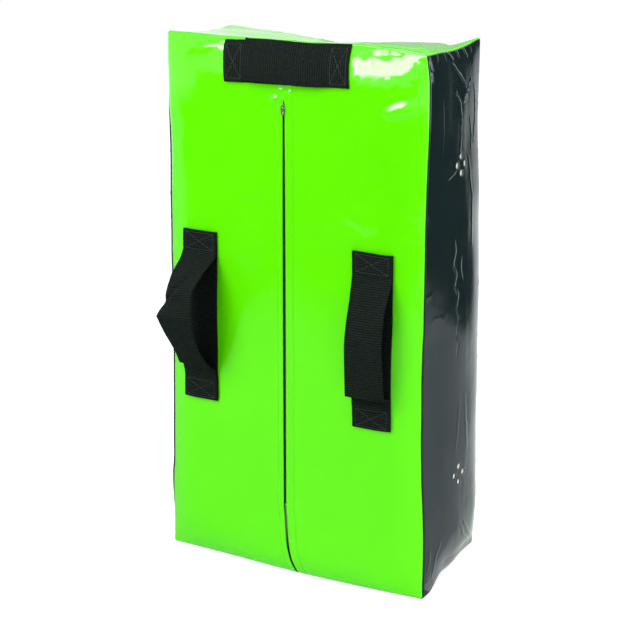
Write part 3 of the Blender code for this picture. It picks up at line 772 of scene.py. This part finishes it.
green, black = (greenFabric, "green_cover"), (blackFabric, "black_cover")
makeZipFace()
makePanel("strikeFacePanel", "strike", green, "strike_face_panel", (width, height), (0.0040, 0.0040),
          strikeRelief)
makePanel("topPanel", "top", green, "top_panel", (width, depth), (0.0020, 0.0020), topRelief)
makePanel("basePanel", "base", black, "base_panel", (width, depth), (0.0030, 0.0030), lambda u, v: 0 * u)
for side, relief in (("right", lambda u, v: sideRelief(u, v, "right", 21)), ("left", leftRelief)):
    # closer rows at the vents, and at the creases below the top seam
    makePanel(side + "SidePanel", side, black, "side_panel_" + side, (depth, height), (0.0012, 0.0022),
              relief, ((0.118, 0.152), (0.495, 0.529), (0.575, 0.644)))
print("cover made")


# The filling, cut square with rounded edges, and hollowed behind the zip
filling = {
    "behindCover": 0.0026,
    "behindSides": 0.0014,
    "round": 0.010,
    "split": 0.0357,
    "splitGap": 0.0004,
    "channelDepth": 0.0035,
    "channelHalf": (0.0165, 0.007),  # how far it reaches, and fades out
    "channelTop": (0.612, 0.010),
    "frontZone": 0.010,
    "cuts": 63,
}


def makeFoam(name, front, back, node):
    # front and back are where it starts and ends between the zip face and the strike face
    fromSide, fromEnd = halfWidth - filling["behindSides"], filling["behindCover"]
    low, high = np.array([-fromSide, front, fromEnd]), np.array([fromSide, back, height - fromEnd])
    bm = bmesh.new()
    place = Matrix.Translation((low + high) / 2) @ Matrix.Diagonal((*(high - low), 1))
    bmesh.ops.create_cube(bm, size=1, matrix=place)
    bmesh.ops.subdivide_edges(bm, edges=bm.edges[:], cuts=filling["cuts"], use_grid_fill=True)
    points, r = np.array([v.co[:] for v in bm.verts]), filling["round"]
    inner = np.clip(points, low + r, high - r)
    reach = np.maximum(np.linalg.norm(points - inner, axis=1, keepdims=True), 1e-9)
    points = inner + (points - inner) * r / reach
    (half, halfFade), (top, topFade) = filling["channelHalf"], filling["channelTop"]
    x, y, z = points.T
    hollow = smoothStep((half - np.abs(x)) / halfFade) * smoothStep((top - z) / topFade)
    points[:, 1] += filling["channelDepth"] * hollow * (y + halfDepth < filling["frontZone"])
    for vert, point in zip(bm.verts, settled(points)):
        vert.co = point
    made = meshObject(name, bm, creamFoam)
    finishPiece(made, node)


makeFoam("foamBlock", filling["behindCover"] - halfDepth, filling["split"] - filling["splitGap"],
         "foam_block")
makeFoam("foamStrikeLayer", filling["split"], halfDepth - filling["behindCover"],
         "foam_strike_layer")
print("foam made")


# Webbing straps. A line is a list of (along, rise): how far along the face, and how far the
# webbing's middle stands in front of it
strap = {
    "width": 0.050,
    "thickness": 0.0016,
    "step": 0.0005,
    "columns": 16,
    "ribHeight": 0.00060,
    "scallop": 0.0003,
    "baseRise": 0.0012,
    "loopRise": 0.0032,
    "sewnEnd": 0.026,
    "stitchMargin": 0.0045,
    "stitchInset": 0.0025,
    "stitchWidth": 0.0012,
    "bunching": 0.96,  # the columns lie closer at the selvedges
    "selvedge": (0.93, 0.98),  # shares of the half width where ribs get lower, and edges scalloped
    "stitchSink": 0.0004,
    "threadSink": 0.0001,
}


def runLengths(line):
    return np.concatenate([[0], np.cumsum(np.linalg.norm(np.diff(line, axis=0), axis=1))])


def evenly(line, count):
    # The same line with its points at equal distances
    lengths = runLengths(line)
    at = np.linspace(0, lengths[-1], count)
    return np.stack([np.interp(at, lengths, part) for part in line.T], axis=1)


def stitchLines(start):
    # A sewn box with a cross in it, on the end that starts there
    low, high = start + strap["stitchInset"], start + strap["sewnEnd"] - strap["stitchInset"]
    half = strap["width"] / 2 - strap["stitchMargin"]
    corners = [(low, -half), (high, -half), (high, half), (low, half)]
    return [*zip(corners, corners[1:] + corners[:1]), (corners[0], corners[2]), (corners[1], corners[3])]


def makeStrap(name, place, edges, node, sewn=True, dents=()):
    # place(s, t, rise) puts a point on the object: s runs along the strap and t across it
    rows = int(max(runLengths(edge)[-1] for edge in edges) / strap["step"]) + 1
    first, second = (evenly(edge, rows) for edge in edges)
    columns, long = strap["columns"], runLengths(edges[0])[-1]
    bm, i, j = gridMesh(columns, rows)
    arc = math.pi * strap["bunching"]
    share = 0.5 + 0.5 * np.sin((i / (columns - 1) - 0.5) * arc) / math.sin(arc / 2)
    t, s = (share - 0.5) * strap["width"], j * long / (rows - 1)
    along = first[j] * (1 - share)[:, None] + second[j] * share[:, None]
    beat = 2 * math.pi * s / ribPitch
    outermost, (lower, edge) = np.abs(t) / (strap["width"] / 2), strap["selvedge"]
    t = t + np.sign(t) * strap["scallop"] * np.cos(beat) * (outermost > edge)
    rib = strap["ribHeight"] * (np.abs(np.cos(beat / 2)) - 0.5) * (1 - 0.5 * (outermost > lower))
    if sewn:
        away = np.min([fromStretch(s, t, *line)[0]
                       for line in stitchLines(0) + stitchLines(long - strap["sewnEnd"])], axis=0)
        rib = rib - strap["stitchSink"] * np.exp(-(away / strap["stitchWidth"]) ** 2)
    for line, size, rise in dents:
        rib = rib + ridge(s, t, line, size, rise)
    points = place(along[:, 0], t, along[:, 1])
    net = np.empty((rows, columns, 3))
    net[j, i] = points
    normal = np.cross(np.gradient(net, axis=0), np.gradient(net, axis=1))
    normal /= np.linalg.norm(normal, axis=2, keepdims=True)
    shapeGrid(bm, points + normal[j, i] * rib[:, None], t, s)
    made = meshObject(name, bm, webbing)
    thicken(made, strap["thickness"])
    finishPiece(made, node)


thread = {  # the stitches' pitch, gap and thickness
    "grips": (0.0034, 0.0005, 0.0007),
    "slit": (0.0034, 0.0006, 0.0007),
    "bar": (0.0017, 0.0002, 0.0011),
    "flatness": 0.72,
}


def newBead(around, along):
    bm = bmesh.new()
    bmesh.ops.create_uvsphere(bm, u_segments=around, v_segments=along, radius=1)
    bead = bpy.data.meshes.new("bead")
    bm.to_mesh(bead)
    bm.free()
    return bead


def addBead(bm, bead, place):
    copy = bead.copy()
    copy.transform(place)
    bm.from_mesh(copy)
    bpy.data.meshes.remove(copy)


stitchBead, toothBead = newBead(8, 5), newBead(6, 5)


def sewLine(bm, placed, pitch, gap, thick):
    # Stitches along the line that placed(share) gives: short beads of thread, end to end
    shares = np.linspace(0, 1, 200)
    lengths = runLengths(placed(shares))
    count = max(1, round(lengths[-1] / pitch))
    spots = placed(np.interp(np.linspace(0, lengths[-1], count + 1), lengths, shares))
    for start, end in zip(spots, spots[1:]):
        start, end = Vector(start), Vector(end)
        along = (end - start).normalized()
        side = along.cross(Vector((0, -1, 0))).normalized()
        turn = Matrix((along, side, along.cross(side))).transposed().to_4x4()
        long, half = (end - start).length - gap, thick / 2
        size = Matrix.Diagonal((long / 2, half, half * thread["flatness"], 1))
        addBead(bm, stitchBead, Matrix.Translation((start + end) / 2) @ turn @ size)


def sewBoxes(grip, place, starts):
    # The sewn boxes on a strap's two ends, one piece each
    rise = strap["loopRise"] + strap["thickness"] / 2 - strap["threadSink"]
    for start, label in zip(starts, ("First", "Second")):
        bm = bmesh.new()
        for (s0, t0), (s1, t1) in stitchLines(start):
            sewLine(bm, lambda share: place(s0 + (s1 - s0) * share, t0 + (t1 - t0) * share, rise),
                    *thread["grips"])
        finishPiece(meshObject(grip + "GripStitch" + label, bm, greyThread),
                    grip + "_grip_stitch_" + label.lower())


def loopEdge(length, points, corners):
    # One edge of a loop between its sewn ends: places along it and stand-offs in millimetres,
    # and which of these points are creases
    ends, sewn = strap["loopRise"], (0.0, 0.010, 0.020, 0.0255)
    line = [(s, ends) for s in sewn]
    line += [(s / 1000, max(ends, rise / 1000)) for s, rise in points]
    line += [(length - s, ends) for s in sewn[::-1]]
    return throughPoints(line, [corner + 4 for corner in corners])


def baseEdges(length):
    return [np.array([(0.0, strap["baseRise"]), (length, strap["baseRise"])])] * 2


# Side grips: s is measured down from the strap's top end
sideGrip = {"top": 0.419, "length": 0.211, "apart": 0.119}


def sideGripPlace(side):
    return lambda s, t, rise: onZipFace(side * sideGrip["apart"] + t, sideGrip["top"] - s, rise)


def sideEdges(*edges):
    # From heights in millimetres to places along the strap
    return [loopEdge(sideGrip["length"], [(sideGrip["top"] * 1000 - z, rise) for z, rise in points], corners)
            for points, corners in edges]


gripPlaces = {"left": sideGripPlace(-1), "right": sideGripPlace(1)}
for name, place in gripPlaces.items():
    makeStrap(name + "GripBase", place, baseEdges(sideGrip["length"]), name + "_grip_base", sewn=False)

# Slack loops, each bent by hands its own way: (height, stand-off) in mm along their left and
# right edges, and which of the points are creases
leftLoop = [
    ([(390.9, 4.4), (382.4, 9.9), (372.4, 22.5), (368.7, 27.2), (360.6, 33.5), (352.2, 38.9), (343.3, 41.9),
      (335.5, 42.1), (328.4, 52.9), (322.2, 60.3), (299.6, 45.7), (271.6, 25.4), (253.0, 14.6), (252.2, 9.0),
      (247.0, 6.0), (240.0, 4.2)], [9, 12, 13]),
    ([(386.6, 8.0), (376.3, 29.2), (366.0, 45.0), (353.9, 56.1), (331.6, 58.9), (311.2, 56.0), (282.3, 41.8),
      (259.6, 22.4), (248.8, 7.0), (243.0, 4.6), (240.0, 3.4)], [8]),
]
rightLoop = [
    ([(389.4, 3.3), (362.7, 9.5), (337.6, 17.8), (312.4, 22.2), (281.7, 21.1), (249.7, 19.4), (248.6, 11.0),
      (247.0, 5.2), (243.0, 3.9), (237.0, 3.6)], [5]),
    ([(388.7, 3.4), (368.6, 14.4), (348.6, 23.0), (319.9, 26.1), (289.2, 23.3), (262.0, 20.8), (249.2, 18.6),
      (248.0, 11.0), (246.4, 5.2), (243.0, 3.8), (237.0, 3.5)], [6]),
]
leftDents = [([(0.0960, -0.0225), (0.0810, -0.010), (0.0640, 0.007)], 0.0020, -0.0050),
             ([(0.0990, -0.018), (0.0930, -0.006), (0.0870, 0.006)], 0.0044, 0.0026)]
for name, edges, dents in (("left", leftLoop, leftDents), ("right", rightLoop, ())):
    makeStrap(name + "GripLoop", gripPlaces[name], sideEdges(*edges), name + "_grip_loop", dents=dents)
for name, place in gripPlaces.items():
    sewBoxes(name, place, (0, sideGrip["length"] - strap["sewnEnd"]))

# The top grip runs across: s from its left end, t upwards. It is sewn on slightly turned
topGrip = {
    "middle": 0.6256,
    "length": 0.168,
    "turn": math.radians(1.2),
    "lean": -0.12,
    "tall": 0.905,  # the face rolls back here, so the width shows shorter
    "lift": 0.0030,
    "liftEnds": ((0.0262, 0.0015), (0.138, 0.10)),
    "lower": ([(27.0, 3.4), (27.6, 5.6), (30.5, 7.4), (40.0, 8.6), (70.0, 9.2), (100.0, 8.4), (125.0, 6.4),
               (138.0, 4.0)], [1]),
    "upper": ([(27.5, 3.4), (27.9, 5.8), (30.8, 7.8), (45.0, 8.8), (70.0, 8.4), (100.0, 7.4), (125.0, 5.6),
               (138.0, 3.9)], [1]),
}


def topGripPlace(s, t, rise):
    c, k = math.cos(topGrip["turn"]), math.sin(topGrip["turn"])
    x, z = s - topGrip["length"] / 2 + t * topGrip["lean"], t * topGrip["tall"]
    return onZipFace(x * c - z * k, topGrip["middle"] + x * k + z * c, rise)


def topLoopPlace(s, t, rise):
    # The loop is folded over a little above the strip at its left end, and meets it at the right
    (left, leftRun), (right, rightRun) = topGrip["liftEnds"]
    lifted = topGrip["lift"] * smoothStep((s - left) / leftRun) * smoothStep((right - s) / rightRun)
    return topGripPlace(s, t + lifted, rise)


makeStrap("topGripBase", topGripPlace, baseEdges(topGrip["length"]), "top_grip_base", sewn=False)
topEdges = [loopEdge(topGrip["length"], *topGrip[edge]) for edge in ("lower", "upper")]
makeStrap("topGripLoop", topLoopPlace, topEdges, "top_grip_loop")
sewBoxes("top", topGripPlace, (topGrip["length"] - strap["sewnEnd"], 0))
print("webbing made")


# Stitching beside the slit, and the bar of close stitches that stops it from tearing
slitSewing = {"low": 0.004, "high": 0.603, "rise": 0.0001, "barHalf": 0.005, "barRows": 0.0008,
              "barRise": 0.0003}


def sewSlit():
    bm = bmesh.new()
    low, high = slitSewing["low"], slitSewing["high"]
    for offset in (-slit["hemLeft"], slit["hemRight"]):
        def placed(share):
            z = low + (high - low) * share
            return onZipFace(offset + slitShift(z), z, slitSewing["rise"])
        sewLine(bm, placed, *thread["slit"])
    for row in (-slitSewing["barRows"], slitSewing["barRows"]):
        sewLine(bm, lambda share: onZipFace(slitSewing["barHalf"] * (2 * share - 1), high + row,
                                            slitSewing["barRise"]), *thread["bar"])
    finishPiece(meshObject("slitStitching", bm, greenThread))


sewSlit()

# The zip, behind the slit
zipParts = {
    "teethX": (0.0009, 0.0027),
    "teethY": (-0.0648, -0.0630),
    "teethZ": (0.0913, 0.5840),
    "pitch": 0.0010,
    "toothShare": 0.46,
    "tapeX": (0.0030, 0.0183),
    "tapeZ": (0.0013, 0.5977),
    "tapeStep": (0.0054, 0.0084),  # where the tape steps back from the teeth to its seat
    "tapeSeat": -0.0654,
    "tapeThickness": 0.0006,
    "tapeColumns": 18,
    "tapeRow": 0.002,
    "stopBevels": (0.0003, 0.0004),  # of the top ones, and of the bottom one
}


def bevelledBox(bm, low, high, size, segments=2):
    made = bmesh.ops.create_cube(bm, size=1)["verts"]
    low, high = Vector(low), Vector(high)
    bmesh.ops.scale(bm, verts=made, vec=high - low)
    bmesh.ops.translate(bm, verts=made, vec=(low + high) / 2)
    edges = list({edge for vert in made for edge in vert.link_edges})
    bmesh.ops.bevel(bm, geom=edges, offset=size, offset_type="OFFSET", segments=segments, profile=0.5,
                    affect="EDGES", material=-1)


def makeStop(name, node, bevel):
    bm = bmesh.new()
    bevelledBox(bm, *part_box(node), bevel)
    finishPiece(meshObject(name, bm, nickel), node)


def makeZipSide(name, side):
    label = name.lower()
    (front, back), (inner, outer), (low, high) = (zipParts[key] for key in ("teethY", "tapeX", "tapeZ"))
    middle, wide, tall = (front + back) / 2, outer - inner, high - low
    rows, columns = int(tall / zipParts["tapeRow"]), zipParts["tapeColumns"]
    bm, i, j = gridMesh(columns, rows)
    x, z = inner + wide * i / (columns - 1), low + tall * j / (rows - 1)
    y = np.interp(x, zipParts["tapeStep"], [middle, zipParts["tapeSeat"]])
    shapeGrid(bm, settled(np.stack([side * x, y, z], axis=1)), x, z)
    if side < 0:
        bmesh.ops.reverse_faces(bm, faces=bm.faces[:])
    makeSheet("zipTape" + name, bm, blackTape, "zip_tape", "zip_tape_" + label, (wide, tall),
              zipParts["tapeThickness"], 0)

    bm, pitch = bmesh.new(), zipParts["pitch"]
    (inner, outer), (low, high) = zipParts["teethX"], zipParts["teethZ"]
    across = (outer - inner) / 2
    size = Matrix.Diagonal((across, (back - front) / 2, pitch * zipParts["toothShare"], 1))
    for k in range(int((high - low) / pitch)):
        centre = (side * (inner + across), middle - block["zipCrown"], low + pitch * (k + 0.5))
        addBead(bm, toothBead, Matrix.Translation(centre) @ size)
    finishPiece(meshObject("zipTeeth" + name, bm, blackNylon), "zip_teeth_" + label)
    makeStop("zipTopStop" + name, "zip_top_stop_" + label, zipParts["stopBevels"][0])


makeZipSide("Left", -1)
makeZipSide("Right", 1)
makeStop("zipBottomStop", "zip_bottom_stop", zipParts["stopBevels"][1])

slider = {
    "front": -0.08575,
    "plate": 0.0007,
    "nose": (0.001, 0.0045),  # the plates' lower part: how much slimmer, and how tall
    "shoulder": 0.003,
    "flange": (0.0038, 0.0035, 0.0015, 0.0004),  # lips round the coil: inner side, foot, top, rise
    "bridge": (0.0005, 0.003),  # half its width, and its height
    "bevels": (0.0003, 0.0002, 0.0001),  # of the plates, of the bridge and posts, and of the lips
    "post": 0.0007,  # half the width of the bail's two posts
    "bail": (0, -0.0890, 0.57972),
    "bailRadius": 0.0013,
    "bailThick": 0.00045,
}


def makeSlider():
    # Two plates joined by a bridge, and the bail that stands through the slit for the pull
    low, high = (Vector(corner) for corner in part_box("zip_slider"))
    plate, back, front = slider["plate"], high.y, slider["front"]
    (slim, tall), (inner, foot, top, rise) = slider["nose"], slider["flange"]
    (bridge, bridgeTall), post = slider["bridge"], slider["post"]
    plateBevel, postBevel, lipBevel = slider["bevels"]
    bm = bmesh.new()
    for near, far in ((front, front + plate), (back - plate, back)):
        bevelledBox(bm, (low.x, near, low.z + slider["shoulder"]), (high.x, far, high.z), plateBevel)
        bevelledBox(bm, (low.x + slim, near, low.z), (high.x - slim, far, low.z + tall), plateBevel)
        lip = (far - 0.0001, far + rise) if near == front else (near - rise, near + 0.0001)
        for side in (-1, 1):
            start, end = sorted((side * inner, side * high.x))
            bevelledBox(bm, (start, lip[0], low.z + foot), (end, lip[1], high.z - top), lipBevel, 1)
    bevelledBox(bm, (-bridge, front, high.z - bridgeTall), (bridge, back, high.z), postBevel)
    centre, thick = Vector(slider["bail"]), slider["bailThick"]
    start = centre + Vector((0, 0, slider["bailRadius"]))
    ring = bmesh.ops.create_circle(bm, segments=10, radius=thick, matrix=Matrix.Translation(start))["verts"]
    edges = list({edge for vert in ring for edge in vert.link_edges})
    bmesh.ops.rotate(bm, verts=ring, cent=start, matrix=Matrix.Rotation(math.pi / 2, 3, "X"))
    bmesh.ops.spin(bm, geom=ring + edges, cent=centre, axis=(1, 0, 0), dvec=(0, 0, 0),
                   angle=2 * math.pi, steps=24, use_merge=True)
    for z in (centre.z - slider["bailRadius"], centre.z + slider["bailRadius"]):
        bevelledBox(bm, (-post, centre.y, z - thick), (post, front + plate / 2, z + thick), postBevel)
    bmesh.ops.recalc_face_normals(bm, faces=bm.faces[:])
    finishPiece(meshObject("zipSlider", bm, nickel), "zip_slider", "slider")


pull = {
    "slot": (0.0013, 0.0023, 0.0005),  # half width, and how far its foot and top lie below the hinge
    "round": (0.5, 0.3),  # how square the tab's outline and the slot's are
    "thin": 0.00014,  # the plate is this much thinner than its raised ribs, on each face
    "ribs": 3,
    "ribFrom": 0.0014,
    "ribPitch": 0.0016,
    "ribSize": (0.0014, 0.0008),  # half its width, and its height
    "bevels": (0.00012, 0.0001),  # of the tab, and of its ribs
}


def makePull():
    # A flat stamped tab with a slot for the bail, and ribs to hold it by
    low, high = (Vector(corner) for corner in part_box("zip_pull"))
    bm = bmesh.new()
    edges, hinge = [], slider["bail"][2]
    (slotHalf, slotFoot, slotTop), (tabBevel, ribBevel) = pull["slot"], pull["bevels"]
    outlines = (high.x, low.z, high.z), (slotHalf, hinge - slotFoot, hinge - slotTop)
    for (half, foot, top), squareness in zip(outlines, pull["round"]):
        ring = bmesh.ops.create_circle(bm, segments=32, radius=1)["verts"]
        edges += list({edge for vert in ring for edge in vert.link_edges})
        for vert in ring:
            across, up = (math.copysign(abs(part) ** squareness, part) for part in vert.co[:2])
            vert.co = (half * across, low.y + pull["thin"], (foot + top) / 2 + (top - foot) / 2 * up)
    bmesh.ops.bridge_loops(bm, edges=edges)
    grown = bmesh.ops.extrude_face_region(bm, geom=bm.faces[:])["geom"]
    moved = [part for part in grown if isinstance(part, bmesh.types.BMVert)]
    bmesh.ops.translate(bm, verts=moved, vec=(0, high.y - low.y - 2 * pull["thin"], 0))
    bmesh.ops.recalc_face_normals(bm, faces=bm.faces[:])
    sharp = [edge for edge in bm.edges if edge.calc_face_angle(0) > 1.0]
    bmesh.ops.bevel(bm, geom=sharp, offset=tabBevel, segments=2, profile=0.5, affect="EDGES", material=-1)
    half, tall = pull["ribSize"]
    for k in range(pull["ribs"]):
        foot = low.z + pull["ribFrom"] + pull["ribPitch"] * k
        bevelledBox(bm, (-half, low.y, foot), (half, high.y, foot + tall), ribBevel)
    finishPiece(meshObject("zipPull", bm, nickel), "zip_pull", "pull")


makeSlider()
makePull()
print("zip made")


# Floor, lights and background

studio = {
    "floorColour": "#F2F2F2",
    "floorGlow": 0.60,
    "floorHalf": 6.0,
    "floorLow": -0.0003,
    "worldSeen": 1.0,
    "worldLight": 0.45,
    "cardLow": 0.002,
    "cards": [  # name, corners on the floor, top if it is a wall, glow
        ("frontCard", [(-4.5, -5.0), (3.0, -5.0), (3.0, -1.22), (-4.5, -1.22)], 0, 0.0),
        ("nearCard", [(-4.5, -1.22), (3.0, -1.22), (3.0, -0.05), (-4.5, -0.05)], 0, 0.44),
        ("leftCard", [(-4.5, -0.05), (-0.18, -0.05), (-0.18, 0.8), (-4.5, 0.8)], 0, 0.44),
        ("rearCard", [(0.57, 1.08), (5.5, 0.10), (5.5, 5.0), (1.95, 5.0)], 0, 0.0),
        ("rightCard", [(0.20, -0.05), (5.5, -0.05), (5.5, 0.10), (0.57, 1.08)], 0, 0.90),
        ("rearWall", [(1.95, 5.0), (5.5, 5.0)], 2.6, 0.0),
        ("frontWall", [(-4.5, -5.0), (3.0, -5.0)], 1.3, 0.0),
        ("greyWall", [(-2.45, 4.4), (-0.8, 4.4)], 2.4, 0.55),
    ],
    # Lamps: name, place, aim, size, power, roll, and whether surfaces and reflections see it. The
    # softbox is there once for each, and upperShine is a second one above it, for reflections
    "lamps": [
        ("softbox", (-0.740, -1.854, 1.633), (0.05, -0.08, 0.60), (0.85, 1.70), 32.5, 0, True, False),
        ("softboxShine", (-0.465, -1.82, 1.84), (0.05, -0.08, 0.60), (1.40, 1.14), 84.0, 14, False, True),
        ("upperShine", (-0.17, -0.90, 2.66), (0.05, -0.08, 0.60), (1.20, 0.90), 52.0, 0, False, True),
        ("rearFill", (0.30, 2.30, 1.40), (0.0, 0.07, 0.35), (1.20, 1.20), 24.0, 0, True, False),
        ("sideFill", (1.90, 0.35, 0.75), (0.17, 0.0, 0.30), (1.20, 1.20), 26.0, 0, True, True),
    ],
}


def seenRays(tree):
    # 1 for rays from the camera, a mirror or glass, 0 for those that light the object
    path = addNode(tree, "LightPath").outputs
    first = addNode(tree, "Math", {"operation": "MAXIMUM"},
                    {0: path["Is Camera Ray"], 1: path["Is Glossy Ray"]})
    return addNode(tree, "Math", {"operation": "MAXIMUM"}, {0: first, 1: path["Is Transmission Ray"]})


def makeFloor():
    material, tree, shader = newMaterial("paleStudioFloor", {
        "Base Color": studio["floorColour"], "Roughness": 0.9, "Specular IOR Level": 0.0,
        "Emission Color": "#FFFFFF"})
    glow = addNode(tree, "Math", {"operation": "MULTIPLY", 1: studio["floorGlow"]}, {0: seenRays(tree)})
    setNode(tree, shader, links={"Emission Strength": glow})
    bm = bmesh.new()
    bmesh.ops.create_grid(bm, x_segments=1, y_segments=1, size=studio["floorHalf"],
                          matrix=Matrix.Translation((0, 0, studio["floorLow"])))
    meshObject("floor", bm, material)


def makeCard(name, feet, top, glow):
    # A card that only reflections see, as the dark and grey parts of the room beyond the sweep
    corners = [(x, y, studio["cardLow"]) for x, y in feet]
    if top:
        corners += [(x, y, top) for x, y in reversed(feet)]
    material = newMaterial(name, {"Base Color": "#050505", "Roughness": 1.0, "Specular IOR Level": 0.0,
                                  "Emission Color": "#FFFFFF", "Emission Strength": glow})[0]
    bm = bmesh.new()
    bmesh.ops.create_grid(bm, x_segments=1, y_segments=1, size=1.0)
    for vert in bm.verts:
        across, up = vert.co.x > 0, vert.co.y > 0
        vert.co = corners[across if not up else 3 - across]
    made = meshObject(name, bm, material)
    made.visible_camera = made.visible_diffuse = made.visible_shadow = made.visible_transmission = False


def makeWorld():
    world = bpy.data.worlds.new("studio")
    bpy.context.scene.world = world
    world.use_nodes = True
    tree = world.node_tree
    tree.nodes.clear()
    seen, light = (addNode(tree, "Background", {"Color": "#FFFFFF", "Strength": studio[key]})
                   for key in ("worldSeen", "worldLight"))
    both = addNode(tree, "MixShader", links={0: seenRays(tree), 1: light, 2: seen})
    addNode(tree, "OutputWorld", links={0: both})


def makeLamp(name, place, aim, size, power, roll, diffuse, glossy):
    lamp = bpy.data.lights.new(name, "AREA")
    lamp.shape = "RECTANGLE"
    lamp.size, lamp.size_y = size
    lamp.energy = power
    made = newObject(name, lamp)
    made.location = place
    turn = (Vector(aim) - Vector(place)).to_track_quat("-Z", "Y").to_matrix()
    made.rotation_euler = (turn @ Matrix.Rotation(math.radians(roll), 3, "Z")).to_euler()
    made.visible_diffuse, made.visible_glossy = diffuse, glossy


makeFloor()
for card in studio["cards"]:
    makeCard(*card)
makeWorld()
for lamp in studio["lamps"]:
    makeLamp(*lamp)
print("studio made")
